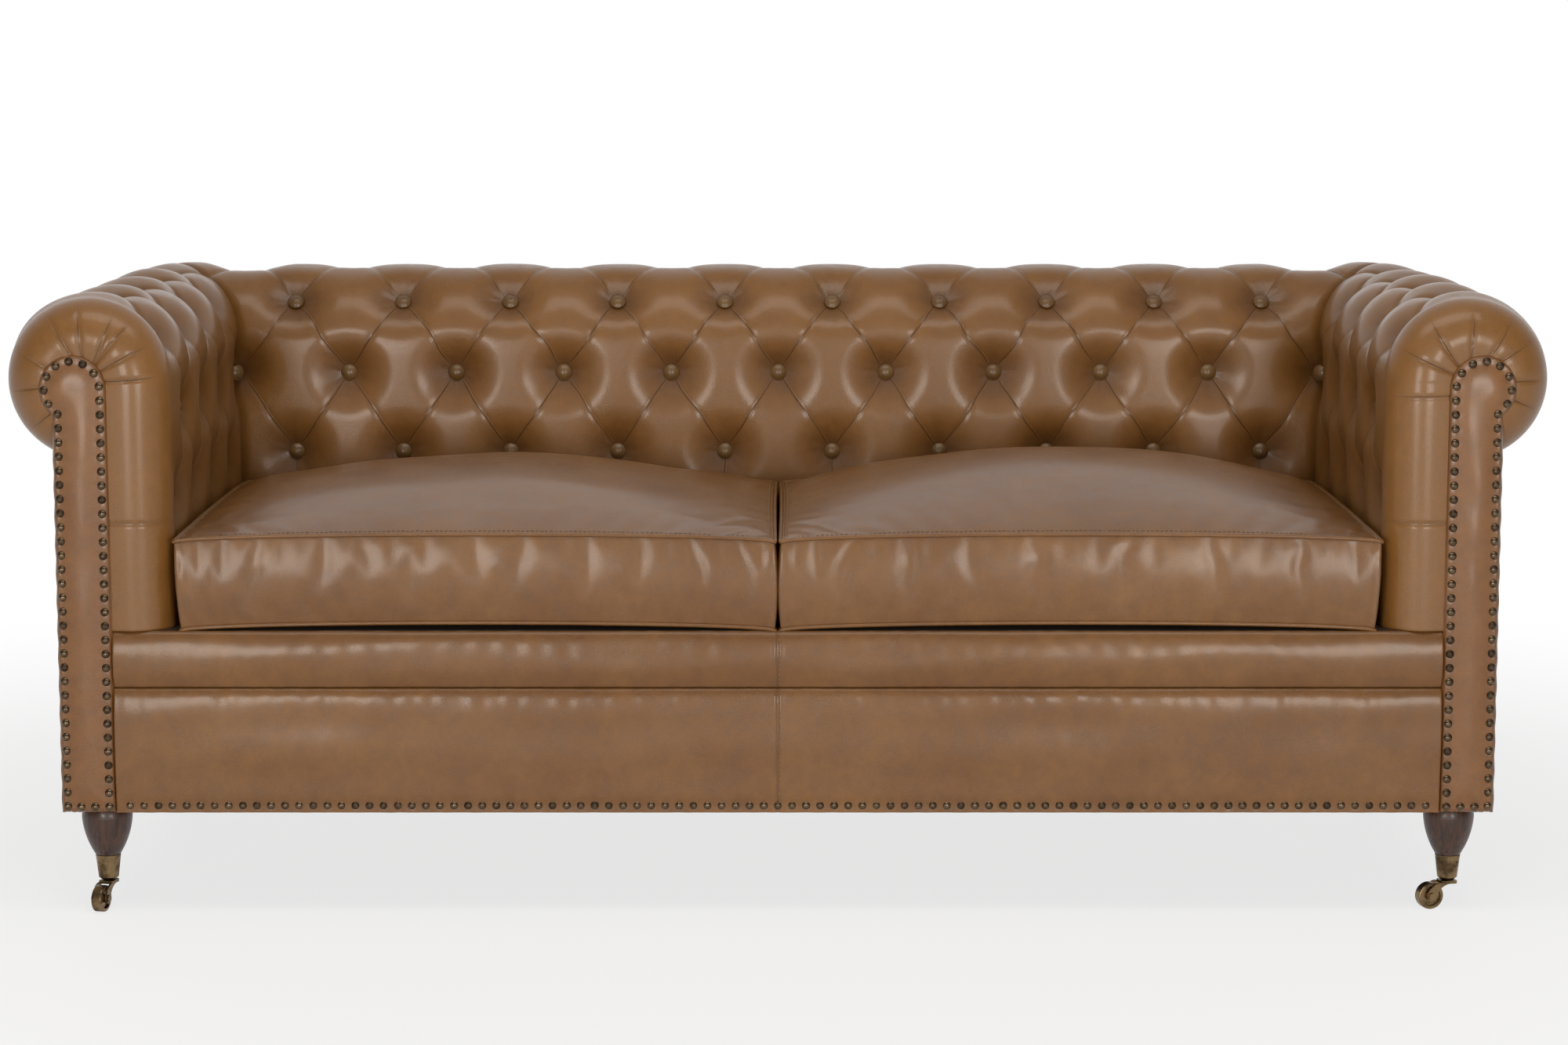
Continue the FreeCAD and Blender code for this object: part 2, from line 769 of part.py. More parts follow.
def front_leg():
    """A turned leg like a tulip, with a neck that fits the castor's cup."""
    x, y, _ = leg_places()[0]
    neck_foot = leg_neck_height - cup_depth + cup_wall + layer_gap
    rim = cup_top_radius - cup_wall - cup_gap
    foot = rim - neck_taper() * (leg_neck_height - neck_foot)
    shoulder_height = (frame_height + leg_bulb_height) / 2
    shoulder_radius = leg_bulb_radius - (leg_bulb_radius - leg_top_radius) / 4
    top = V(leg_top_radius, 0, frame_height)
    bulb = V(leg_bulb_radius, 0, leg_bulb_height)
    neck = V(leg_neck_radius, 0, leg_neck_height)
    edges = [
        line_edge(V(0, 0, frame_height), top),
        arc_edge(top, V(shoulder_radius, 0, shoulder_height), bulb),
        arc_edge(bulb, V(leg_waist_radius, 0, leg_waist_height), neck),
        line_edge(neck, V(rim, 0, leg_neck_height)),
        line_edge(V(rim, 0, leg_neck_height), V(foot, 0, neck_foot)),
        line_edge(V(foot, 0, neck_foot), V(0, 0, neck_foot)),
        line_edge(V(0, 0, neck_foot), V(0, 0, frame_height)),
    ]
    solid = Part.Face(Part.Wire(edges)).revolve(V(0, 0, 0), V(0, 0, 1), 360)
    solid.translate(V(x, y, 0))
    return solid


def rear_leg():
    """A plain square leg that tapers to its foot and stands on the floor."""
    x, y, _ = leg_places()[2]

    def square(side, z):
        h = side / 2
        corners = [V(x - h, y - h, z), V(x + h, y - h, z), V(x + h, y + h, z), V(x - h, y + h, z)]
        return Part.makePolygon(corners + corners[:1])

    leg = Part.makeLoft([square(rear_leg_top, frame_height), square(rear_leg_foot, 0)], True, True)
    corners = [e for e in leg.Edges if abs(e.Vertexes[0].Z - e.Vertexes[1].Z) > 1]
    return leg.makeFillet(rear_leg_corner, corners)


def leg_bolts():
    """Hanger bolts, screwed into each leg and its corner block."""
    return [cylinder(V(x, y, frame_height - leg_bolt_bite), V(0, 0, 1), leg_bolt_radius, 2 * leg_bolt_bite)
            for x, y, _ in leg_places()]


def cup_foot_height():
    return leg_neck_height - layer_gap - cup_depth


def castor_cup():
    """A tapered ferrule over the leg's neck. Its floor and collar hold the swivel's pintle."""
    x, y, _ = leg_places()[0]
    foot = cup_foot_height()
    outer = Part.makeCone(cup_foot_radius, cup_top_radius, cup_depth, V(x, y, foot))
    inner_foot = cup_foot_radius - cup_wall + neck_taper() * cup_wall
    inner_top = cup_top_radius - cup_wall
    inner = Part.makeCone(inner_foot, inner_top, cup_depth - cup_wall, V(x, y, foot + cup_wall))
    collar = Part.makeCone(collar_radius, cup_foot_radius, collar_height, V(x, y, foot - collar_height))
    bore = cylinder(V(x, y, foot - collar_height - overcut), V(0, 0, 1), pintle_radius + pintle_clear,
                    collar_height + cup_wall + 2 * overcut)
    return outer.cut(inner).fuse(collar).cut(bore).removeSplitter().Solids[0]


def castor_screws():
    """Two small screws through each cup into its leg."""
    x, y, _ = leg_places()[0]
    z = leg_neck_height - castor_screw_drop
    face = cup_top_radius - neck_taper() * castor_screw_drop
    screws = []
    for side in (-1, 1):
        angle = math.radians(270 + side * castor_screw_spread)
        out = V(math.cos(angle), math.sin(angle), 0)
        start = V(x, y, z) + out * (face + cup_wall / 2 - castor_screw_length)
        screws.append(cylinder(start, out, castor_screw_radius, castor_screw_length))
    return screws + [mirrored(s) for s in screws]


def castor_wheel():
    """A solid wheel with dished sides and a boss round its bore."""
    start = V(castor_trail, -wheel_width / 2, wheel_radius)
    wheel = cylinder(start, V(0, 1, 0), wheel_radius, wheel_width)
    rims = [e for e in wheel.Edges if abs(e.Length - 2 * math.pi * wheel_radius) < 0.01]
    wheel = wheel.makeFillet(wheel_edge, rims)
    for y in (-wheel_width / 2, wheel_width / 2 - wheel_dish):
        mouth = V(castor_trail, y, wheel_radius)
        dish = cylinder(mouth, V(0, 1, 0), wheel_dish_radius, wheel_dish)
        boss = cylinder(mouth, V(0, 1, 0), axle_radius + wheel_boss, wheel_dish)
        wheel = wheel.cut(dish.cut(boss))
    return wheel.cut(cylinder(start, V(0, 1, 0), axle_radius + axle_clear, wheel_width)).Solids[0]


def cheek(y, plate_low):
    """One side of the horn, a curved arm from the plate down to the axle's eye."""
    eye = axle_radius + cheek_eye
    top = plate_low + horn_plate_thickness / 2
    heel = V(-horn_plate_lead / 2, y, plate_low)
    toe = V(horn_plate_lead, y, top)
    front = V(castor_trail + eye, y, wheel_radius)
    rear = V(castor_trail - eye, y, wheel_radius)
    outline = Part.Wire([
        line_edge(V(heel.x, y, top), heel),
        arc_edge(heel, V(horn_plate_lead, y, plate_low - horn_plate_thickness), rear),
        arc_edge(rear, V(castor_trail, y, wheel_radius - eye), front),
        arc_edge(front, V(castor_trail, y, plate_low - eye / 2), toe),
        line_edge(toe, V(heel.x, y, top)),
    ])
    return Part.Face(outline).extrude(V(0, cheek_thickness, 0))


def castor_horn():
    """The swivelling fork: pintle, plate and two cheeks round the wheel."""
    inner = wheel_width / 2 + cheek_gap
    outer = inner + cheek_thickness
    plate_top = cup_foot_height() - collar_height - swivel_gap
    plate_low = plate_top - horn_plate_thickness
    plate = box(-horn_plate_lead, horn_plate_lead, -outer, outer, plate_low, plate_top)
    horn = plate.common(cylinder(V(0, 0, plate_low), V(0, 0, 1), horn_plate_radius + cheek_thickness,
                                 horn_plate_thickness))
    pintle_length = cup_foot_height() + cup_wall - plate_low
    horn = horn.fuse(cylinder(V(0, 0, plate_low), V(0, 0, 1), pintle_radius, pintle_length))
    horn = horn.fuse(cheek(inner, plate_low)).fuse(cheek(-outer, plate_low))
    arch = cylinder(V(castor_trail, -inner, wheel_radius), V(0, 1, 0), wheel_radius + wheel_arch_clear, 2 * inner)
    eye = cylinder(V(castor_trail, -outer, wheel_radius), V(0, 1, 0), axle_radius + axle_clear, 2 * outer)
    horn = horn.cut(arch).cut(eye).removeSplitter()
    return max(horn.Solids, key=lambda s: s.Volume)


def castor_axle():
    """A riveted pin through both cheeks and the wheel."""
    outer = wheel_width / 2 + cheek_gap + cheek_thickness + layer_gap
    pin = cylinder(V(castor_trail, -outer, wheel_radius), V(0, 1, 0), axle_radius, 2 * outer)
    for y in (-outer - axle_head_length, outer):
        head = cylinder(V(castor_trail, y, wheel_radius), V(0, 1, 0), axle_head_radius, axle_head_length)
        pin = pin.fuse(head)
    return pin.removeSplitter().Solids[0]


def castor(turn):
    """The horn, wheel and axle, made about the left leg and turned to trail towards turn."""
    x, y, _ = leg_places()[0]
    pieces = [castor_horn(), castor_wheel(), castor_axle()]
    for piece in pieces:
        piece.rotate(V(0, 0, 0), V(0, 0, 1), turn)
        piece.translate(V(x, y, 0))
    return pieces


def cushion_outline(x, swell, tuck, skin):
    """The cushion's section across its depth. swell is 0 at its ends and 1 at its middle."""
    low = deck_height + skin
    front_low = low + cushion_front_lift * swell + tuck
    edge = deck_height + cushion_edge_height + cushion_front_lift * swell - tuck - skin
    crown = deck_height + cushion_edge_height + cushion_end_crown - tuck - skin
    crown += (cushion_crown - cushion_end_crown) * swell
    front = facing_front + cushion_set_back + tuck + cushion_draw * swell + skin
    back = back_face - cushion_back_clear - skin
    bottom_front = V(x, front, front_low)
    top_front = V(x, front, edge)
    top_back = V(x, back, edge)
    flat_front = V(x, facing_front + cushion_set_back + cushion_front_lift_depth, low)
    return Part.Wire([
        arc_edge(bottom_front, V(x, front - cushion_front_belly, (front_low + edge) / 2), top_front),
        arc_edge(top_front, V(x, (front + back) / 2 + cushion_crown_lead, crown), top_back),
        line_edge(top_back, V(x, back, low)),
        line_edge(V(x, back, low), flat_front),
        line_edge(flat_front, bottom_front),
    ])


def drawn_side(x, out, skin):
    """What a cushion loses at a side, where its seams draw the side in between the corners."""
    front = facing_front
    back = back_face
    middle = V(x - out * cushion_draw, (front + back) / 2, deck_height)
    ends = [V(x, front, deck_height), V(x, back, deck_height)]
    far = [V(x + out * cushion_draw, p.y, p.z) for p in ends]
    wire = Part.Wire([arc_edge(ends[0], middle, ends[1]), line_edge(ends[1], far[1]),
                      line_edge(far[1], far[0]), line_edge(far[0], ends[0])])
    return Part.Face(wire).extrude(V(0, 0, 2 * cushion_edge_height))


def cushion_shape(skin):
    """The left seat cushion, crowned on top and drawn in between its corners, less a skin all round."""
    left = -half_seat + cushion_side_clear + skin
    right = -cushion_gap / 2 - skin
    sections = []
    for i in range(cushion_sections + 1):
        turn = math.pi * i / cushion_sections
        x = left + (right - left) * (1 - math.cos(turn)) / 2
        swell = math.sin(turn)
        tuck = cushion_end_tuck if i in (0, cushion_sections) else 0.0
        sections.append(cushion_outline(x, swell, tuck, skin))
    shape = Part.makeLoft(sections, True, True)
    shape = shape.cut(drawn_side(left, -1, skin)).cut(drawn_side(right, 1, skin))
    return shape.Solids[0]


def cushion():
    """A cushion's leather case and the foam core that it holds."""
    case = cushion_shape(0.0).cut(cushion_shape(cushion_cover - layer_gap))
    return case.Solids[0], cushion_shape(cushion_cover)


def cushion_zip():
    """The zip across a cushion's back: tape and coil, then the slider with its tab."""
    middle = -(half_seat - cushion_side_clear) / 2
    half = zip_length / 2
    z = deck_height + cushion_edge_height / 2
    face = back_face - cushion_back_clear + layer_gap
    tape_face = face + zip_thickness
    coil_face = tape_face + zip_coil_thickness
    half_coil = zip_coil_width / 2
    tape = box(middle - half, middle + half, face, tape_face, z - zip_width / 2, z + zip_width / 2)
    coil = box(middle - half, middle + half, tape_face, coil_face, z - half_coil, z + half_coil)
    x = middle - half + zip_slider_length
    back = tape_face + layer_gap
    slider = box(x - zip_slider_length / 2, x + zip_slider_length / 2, back, back + zip_slider_thickness,
                 z - zip_slider_width / 2, z + zip_slider_width / 2)
    channel = box(x - zip_slider_length, x + zip_slider_length, tape_face, coil_face + layer_gap,
                  z - half_coil - layer_gap, z + half_coil + layer_gap)
    tab = box(x - zip_tab_width / 2, x + zip_tab_width / 2, back + zip_slider_thickness,
              back + zip_slider_thickness + zip_tab_thickness, z - zip_tab_length, z)
    return tape.fuse(coil).removeSplitter(), slider.cut(channel).fuse(tab).removeSplitter().Solids[0]


def main():
    os.makedirs("parts", exist_ok=True)

    # Hardwood frame
    export("front_rail", front_rail())
    export("back_rail", back_rail())
    export_pair("side_rail", side_rail())
    export("centre_rail", centre_rail())
    export("corner_blocks", *corner_blocks())
    export_pair("arm_front_post", post(facing_back, wood_radius - layer_gap))
    export_pair("arm_rear_post", post(rear_post_front, rear_head_radius))
    export_pair("arm_roll_core", roll_core())
    export("back_roll_core", back_roll_core())
    export("arm_boards", *arm_boards())
    export("back_stiles", *back_stiles())

    # Springing
    export("seat_springs", *seat_springs())
    export("spring_clips", *spring_clips())
    export("seat_deck", seat_deck())
    export("dust_cover", dust_cover())

    # Upholstery
    export_pair("arm_foam", arm_foam())
    export("back_foam", back_foam())
    export_pair("arm_cover", arm_cover(), front_wrap())
    export("back_cover", back_cover())
    export_pair("outside_arm", outside_arm())
    export("outside_back", outside_back())
    export_pair("facing", facing())
    export("front_lip", front_lip())
    export("front_border", front_border())
    export_pair("arm_buttons", *arm_buttons())
    export("back_buttons", *back_buttons())
    export_pair("facing_nails", *facing_nails())
    export("border_nails", *border_nails())

    # Loose seat cushions
    case, core = cushion()
    export_pair("cushion_case", case)
    export_pair("cushion_core", core)
    tape, slider = cushion_zip()
    export_pair("cushion_zip", tape)
    export_pair("zip_slider", slider)

    # Legs and castors
    export_pair("front_leg", front_leg())
    export_pair("rear_leg", rear_leg())
    export("leg_bolts", *leg_bolts())
    export_pair("castor_cup", castor_cup())
    export("castor_screws", *castor_screws())
    for side, turn in (("left", castor_turn_left), ("right", 180.0 - castor_turn_right)):
        names = ("castor_horn_", "castor_wheel_", "castor_axle_")
        for name, piece in zip(names, castor(turn)):
            export(name + side, piece if side == "left" else mirrored(piece))


main()
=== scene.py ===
"""Dresses the chesterfield sofa: tufted covers, cushions, nailed leather, turned legs and castors.

Metres. X runs along the sofa, Y from front to back, Z up, with the origin on the floor under its middle.
"""
from __future__ import annotations

import json
import logging
import math
from dataclasses import dataclass, field
from enum import Enum

import bpy
import numpy as np
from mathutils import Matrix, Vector


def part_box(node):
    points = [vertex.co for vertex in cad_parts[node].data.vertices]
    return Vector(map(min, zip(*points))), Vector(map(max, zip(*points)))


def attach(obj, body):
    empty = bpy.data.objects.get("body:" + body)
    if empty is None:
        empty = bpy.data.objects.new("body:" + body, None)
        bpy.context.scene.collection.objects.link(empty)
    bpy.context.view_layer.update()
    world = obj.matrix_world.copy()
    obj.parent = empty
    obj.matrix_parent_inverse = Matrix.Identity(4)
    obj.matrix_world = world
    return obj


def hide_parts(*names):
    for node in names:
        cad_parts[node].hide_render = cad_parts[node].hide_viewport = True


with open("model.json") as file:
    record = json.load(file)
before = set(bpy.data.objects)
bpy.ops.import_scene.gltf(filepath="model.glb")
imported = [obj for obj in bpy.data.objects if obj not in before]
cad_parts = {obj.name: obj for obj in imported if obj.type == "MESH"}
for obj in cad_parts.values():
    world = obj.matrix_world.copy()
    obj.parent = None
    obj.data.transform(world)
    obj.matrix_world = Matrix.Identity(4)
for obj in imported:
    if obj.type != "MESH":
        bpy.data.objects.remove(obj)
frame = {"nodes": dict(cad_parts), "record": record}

logging.basicConfig(level=logging.INFO, format="%(message)s")
log = logging.getLogger("sofa")

Array = np.ndarray


class Side(Enum):
    """The two ends of the sofa, as seen from the front."""

    LEFT = "left"
    RIGHT = "right"

    @property
    def sign(self) -> float:
        """Which way the side lies along X."""
        return self.pick(-1.0, 1.0)

    def pick(self, left: float, right: float) -> float:
        """The first value on the left side, the second one on the right."""
        return left if self is Side.LEFT else right


def linear(red: int, green: int, blue: int) -> tuple[float, float, float, float]:
    """A display colour as the linear colour that a shader takes.

    Args:
        red: Red on the 0 to 255 scale.
        green: Green on the same scale.
        blue: Blue on the same scale.

    Returns:
        The linear red, green, blue and an alpha of 1.
    """
    values = []
    for value in (red, green, blue):
        share = value / 255.0
        values.append(share / 12.92 if share <= 0.04045 else ((share + 0.055) / 1.055) ** 2.4)
    return (*values, 1.0)


def smooth_step(low: float, high: float, value: Array) -> Array:
    """A soft ramp from 0 at low to 1 at high."""
    share = np.clip((value - low) / (high - low), 0.0, 1.0)
    return share * share * (3.0 - 2.0 * share)


def bell(gap: Array, width: float) -> Array:
    """A bell curve that is 1 where the gap is nothing."""
    return np.exp(-((gap / width) ** 2))


def fade(gap: Array, reach: float) -> Array:
    """A number that falls from 1 as the gap grows."""
    return np.exp(-gap / reach)


def crowded_ends(count: int) -> Array:
    """Numbers from 0 to 1 that stand closer together at both ends."""
    return 0.5 - 0.5 * np.cos(np.linspace(0.0, math.pi, count))


class Undulation:
    """A smooth, seeded, never repeating surface made of a few long waves in two directions."""

    def __init__(self, seed: int, wavelength: float, waves: int = 7) -> None:
        """Draws the waves.

        Args:
            seed: Makes each surface differ from the others and stay the same on each run.
            wavelength: The longest wave, in metres.
            waves: How many waves are added up.
        """
        draw = np.random.default_rng(seed)
        angles = draw.uniform(0.0, 2.0 * math.pi, waves)
        lengths = wavelength * draw.uniform(0.35, 1.0, waves)
        self.wave_u = 2.0 * math.pi * np.cos(angles) / lengths
        self.wave_v = 2.0 * math.pi * np.sin(angles) / lengths
        self.phases = draw.uniform(0.0, 2.0 * math.pi, waves)
        self.gain = 1.0 / math.sqrt(waves)

    def at(self, u: Array, v: Array) -> Array:
        """The height at places on the surface, mostly between -1 and 1."""
        total = np.zeros(np.broadcast(u, v).shape)
        for wave_u, wave_v, phase in zip(self.wave_u, self.wave_v, self.phases):
            total += np.sin(wave_u * u + wave_v * v + phase)
        return total * self.gain


def mesh_piece(name: str, points: Array, faces: list[tuple[int, ...]] | Array, body: str,
               smooth: bool = True) -> bpy.types.Object:
    """Makes a mesh object that rides on a body.

    Args:
        name: The piece's name.
        points: Its corners, one row of X, Y and Z each.
        faces: The corners' numbers, face by face.
        body: The body that it moves with.
        smooth: Whether its faces shade smoothly.

    Returns:
        The new object.
    """
    mesh = bpy.data.meshes.new(name)
    mesh.from_pydata(np.asarray(points, dtype=float).tolist(), [], [tuple(int(i) for i in f) for f in faces])
    mesh.validate()
    mesh.polygons.foreach_set("use_smooth", [smooth] * len(mesh.polygons))
    mesh.update()
    piece = bpy.data.objects.new(name, mesh)
    bpy.context.scene.collection.objects.link(piece)
    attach(piece, body)
    log.info("%s: %d faces on %s", name, len(mesh.polygons), body)
    return piece


def grid_faces(rows: int, columns: int, closed: bool = False, flip: bool = False) -> Array:
    """The quads of a grid of points that was laid out row by row.

    Args:
        rows: Number of rows of points.
        columns: Number of points in each row.
        closed: Whether the last row joins the first one.
        flip: Turns the faces over.

    Returns:
        One row of four numbers for each quad.
    """
    last = rows if closed else rows - 1
    row, column = np.meshgrid(np.arange(last), np.arange(columns - 1), indexing="ij")
    after = (row + 1) % rows
    quads = np.stack([row * columns + column, row * columns + column + 1,
                      after * columns + column + 1, after * columns + column], axis=-1).reshape(-1, 4)
    return quads[:, ::-1] if flip else quads


def for_points(piece: bpy.types.Object, values: Array) -> Array:
    """One number for each point of a mesh: the values, then nothing for the points behind them."""
    padded = np.zeros(len(piece.data.vertices), dtype=np.float32)
    padded[:np.size(values)] = np.ravel(values)
    return padded


def paint(piece: bpy.types.Object, **layers: Array | float) -> None:
    """Stores numbers for the points of a mesh, for its material to read.

    Args:
        piece: The mesh object.
        layers: Each layer's name with its values, for the first points of the mesh.
    """
    for name, values in layers.items():
        layer = piece.data.attributes.new(name, "FLOAT", "POINT")
        layer.data.foreach_set("value", for_points(piece, values))


def paint_lattice(piece: bpy.types.Object, first: Array, second: Array) -> None:
    """Stores the two lattice numbers of a tufted cover as its UV.

    Args:
        piece: The mesh object.
        first: The first number, for the first points of the mesh.
        second: The second number, laid out alike.
    """
    mesh = piece.data
    layer = mesh.uv_layers.new(name="UVMap")
    corners = np.empty(len(mesh.loops), dtype=np.int64)
    mesh.loops.foreach_get("vertex_index", corners)
    pairs = np.stack([for_points(piece, first), for_points(piece, second)], axis=-1)
    layer.data.foreach_set("uv", pairs[corners].ravel())


def island_centres(node: bpy.types.Object) -> Array:
    """The middle of each separate solid in a node's mesh.

    Args:
        node: A mesh object made of loose pieces.

    Returns:
        One row of X, Y and Z for each piece.
    """
    mesh = node.data
    points = np.empty(len(mesh.vertices) * 3)
    mesh.vertices.foreach_get("co", points)
    points = points.reshape(-1, 3)
    keys, same = np.unique(np.round(points, 6), axis=0, return_inverse=True)
    same = same.ravel()
    parent = np.arange(len(keys))
    edges = np.empty(len(mesh.edges) * 2, dtype=np.int64)
    mesh.edges.foreach_get("vertices", edges)
    ends = same[edges].reshape(-1, 2)
    changed = True
    while changed:
        low = np.minimum(parent[ends[:, 0]], parent[ends[:, 1]])
        before = parent.copy()
        np.minimum.at(parent, ends[:, 0], low)
        np.minimum.at(parent, ends[:, 1], low)
        parent = parent[parent]
        changed = bool((before != parent).any())
    centres = []
    for label in np.unique(parent):
        members = keys[parent == label]
        centres.append((members.min(axis=0) + members.max(axis=0)) / 2.0)
    return np.array(centres)


@dataclass(frozen=True)
class RollOutline:
    """The line that the covers follow from the deck up the face and over the roll.

    A place on it is given by its length s from the deck and by how proud of the plain cover it stands.
    """

    deck_height: float = 0.376
    roll_centre_height: float = 0.700
    roll_radius: float = 0.105
    under_roll_angle: float = 248.8
    half_seat: float = 0.785
    back_face: float = 0.220
    front: float = -0.4205
    thickness: float = 0.028
    ease_reach: float = 0.030
    ease_return: float = 0.080

    @property
    def face_height(self) -> float:
        """Height of the straight stretch."""
        return self.roll_centre_height - self.deck_height

    @property
    def length(self) -> float:
        """Length from the deck to the end under the roll."""
        return self.face_height + self.roll_radius * math.radians(self.under_roll_angle)

    def reach(self, s: Array, proud: Array) -> tuple[Array, Array]:
        """Places along the outline.

        Args:
            s: Lengths from the deck.
            proud: How far each place stands out of the plain cover.

        Returns:
            The distance outwards from the sitter's side, and the height.
        """
        proud = proud - self.ease(s)
        angle = np.clip((s - self.face_height) / self.roll_radius, 0.0, None)
        radius = self.roll_radius + proud
        straight = s <= self.face_height
        outward = np.where(straight, -proud, self.roll_radius - radius * np.cos(angle))
        height = np.where(straight, self.deck_height + s, self.roll_centre_height + radius * np.sin(angle))
        return outward, height

    def ease(self, s: Array) -> Array:
        """How far the cover sinks where the roll begins, so that its curve sets in softly.

        Args:
            s: Lengths from the deck.

        Returns:
            The depths under the plain outline.
        """
        past = s - self.face_height
        share = np.clip(past / self.ease_reach, -1.0, 1.0)
        bend = np.where(share < 0.0, (1.0 + share) ** 3, 2.0 - (1.0 - share) ** 3)
        back = 1.0 - smooth_step(self.ease_reach, self.ease_reach + self.ease_return, past)
        return self.ease_reach ** 2 / (12.0 * self.roll_radius) * bend * back


@dataclass
class Relief:
    """What the tufting does to a cover, place by place."""

    proud: Array
    pulled: Array
    crease: Array
    first: Array
    second: Array
    unit: Array


@dataclass(frozen=True)
class TuftPattern:
    """Diamond tufting: buttons on a slanted lattice, with folds from button to button."""

    pitch: float = 0.157
    row_pitch: float = 0.116
    row_two: float = 0.276
    last_row: int = 3
    depth: float = 0.020
    pillow_low: float = -0.0008
    pillow_rise: float = 0.0012
    dimple_reach: float = 0.070
    dimple_core: float = 0.018
    dimple_core_share: float = 0.35
    fold_depth: float = 0.0009
    fold_width: float = 0.0036
    fold_step: float = 0.0005
    roll_fold_depth: float = 0.0022
    roll_fold_width: float = 0.0080
    corner_fold_depth: float = 0.0045
    corner_fold_width: float = 0.0080
    roll_rise: float = 0.0030
    corner_rise: float = 0.0060
    roll_sink: float = 0.55
    gather_height: float = 0.0003
    warp: float = 0.0018
    top_reach: float = 0.075
    top_core_share: float = 0.35
    corner_reach: float = 0.075
    corner_column: int = 10
    depth_range: tuple[float, float] = (0.94, 1.04)
    pull_reach: float = 0.030
    gather_radius: float = 0.020
    gather_width: float = 0.012
    gather_folds: tuple[float, float] = (9.0, 14.0)
    gather_shares: tuple[float, float] = (0.6, 0.4)
    sway_waves: tuple[float, float] = (0.21, 0.17)
    plump_wave: float = 0.33
    plump_share: float = 0.14
    pillow_power: float = 0.62
    roll_rows: tuple[float, float] = (0.9, 0.0)
    upper_rows: tuple[float, float] = (1.9, 0.7)
    near_corner: tuple[float, float] = (0.02, 0.14)
    step_reach: float = 0.009
    step_edge: float = 0.0015

    def buttons(self, first: int, last: int) -> list[tuple[int, int]]:
        """The lattice places with a button.

        Args:
            first: The first column.
            last: The last column.

        Returns:
            Columns and rows, where both are even or both are odd.
        """
        return [(column, row) for column in range(first, last + 1) for row in range(self.last_row + 1)
                if (column + row) % 2 == 0]

    def button_reach(self, column: int, row: int) -> tuple[float, float]:
        """How far a button's hollow reaches, and the share of it that is a narrow core."""
        if row:
            return self.dimple_reach, self.dimple_core_share
        if abs(column) < self.corner_column:
            return self.top_reach, self.top_core_share
        return self.corner_reach, self.dimple_core_share

    def step(self, gap: Array) -> Array:
        """How the leather steps up on one side of a fold and down on the other."""
        far = np.abs(gap)
        return np.sign(gap) * fade(far, self.step_reach) * (1.0 - fade(far, self.step_edge))

    def relief(self, along: Array, s: Array, corner: Array, buttons: list[tuple[int, int]],
               seed: int) -> Relief:
        """Works out the tufted surface.

        Args:
            along: Places along the cover, in metres from a column of even rows.
            s: Lengths along the outline.
            corner: How far each place lies from its mitre.
            buttons: The lattice places with a button.
            seed: Makes this cover's small differences its own.

        Returns:
            The relief at each place.
        """
        half = self.pitch / 2.0
        row = 2.0 - (s - self.row_two) / self.row_pitch
        pull = np.ones_like(along)
        hollow = np.ones_like(along)
        gather = np.zeros_like(along)
        draw = np.random.default_rng(seed)
        for column, button_row in buttons:
            du = along - column * half
            dv = (row - button_row) * self.row_pitch
            far = np.sqrt(du * du + dv * dv)
            wide, core_share = self.button_reach(column, button_row)
            bowl = 0.5 * (1.0 + np.cos(math.pi * np.clip(far / wide, 0.0, 1.0)))
            share = (1.0 - core_share) * bowl + core_share * fade(far, self.dimple_core)
            depth = draw.uniform(*self.depth_range)
            hollow *= 1.0 - np.clip(share * depth, 0.0, 1.0)
            pull *= 1.0 - bell(far, self.pull_reach)
            turn = np.arctan2(dv, du)
            phase = draw.uniform(0.0, 2.0 * math.pi)
            folds = [gain * np.sin(count * turn + times * phase)
                     for gain, count, times in zip(self.gather_shares, self.gather_folds, (1.0, 2.0))]
            gather += bell(far - self.gather_radius, self.gather_width) * (folds[0] + folds[1])
        sway = Undulation(seed, self.sway_waves[0])
        swing = Undulation(seed + 1, self.sway_waves[1])
        bent_along = along / half + self.warp / half * pull * sway.at(along, s)
        bent_row = row + self.warp / self.row_pitch * pull * swing.at(along, s)
        level = np.clip(bent_row, 0.0, float(self.last_row))
        first = (bent_along + level) / 2.0
        second = (bent_along - level) / 2.0
        across_first = np.abs(np.sin(math.pi * first))
        across_second = np.abs(np.sin(math.pi * second))
        pillow = np.power(across_first * across_second + 1e-4, self.pillow_power)
        inside = (bent_row > 0.0) & (bent_row < self.last_row)
        slant = 1.0 / math.hypot(1.0 / self.pitch, 0.5 / self.row_pitch)
        scale = np.where(inside, slant, self.pitch)
        to_first = (first - np.round(first)) * scale
        to_second = (second - np.round(second)) * scale
        on_roll = smooth_step(*self.roll_rows, bent_row)
        upper = smooth_step(*self.upper_rows, bent_row)
        own = smooth_step(*self.near_corner, corner)
        roll_depth = self.corner_fold_depth + (self.roll_fold_depth - self.corner_fold_depth) * own
        depth = self.fold_depth + (roll_depth - self.fold_depth) * on_roll
        roll_width = self.corner_fold_width + (self.roll_fold_width - self.corner_fold_width) * own
        width = self.fold_width + (roll_width - self.fold_width) * on_roll
        folds = np.minimum(bell(to_first, width) + bell(to_second, width), 1.0)
        step = self.step(to_first) - self.step(to_second)
        plump = 1.0 + self.plump_share * Undulation(seed + 2, self.plump_wave).at(along, s)
        seat = self.depth + self.pillow_low
        puffed = self.corner_rise + (self.roll_rise - self.corner_rise) * own
        puffed = self.pillow_rise + (puffed - self.pillow_rise) * upper
        proud = self.pillow_low + puffed * (pillow * plump - self.roll_sink * upper)
        proud -= seat * (1.0 - hollow)
        proud -= depth * folds * pull
        proud += self.fold_step * step * pull
        proud += self.gather_height * gather
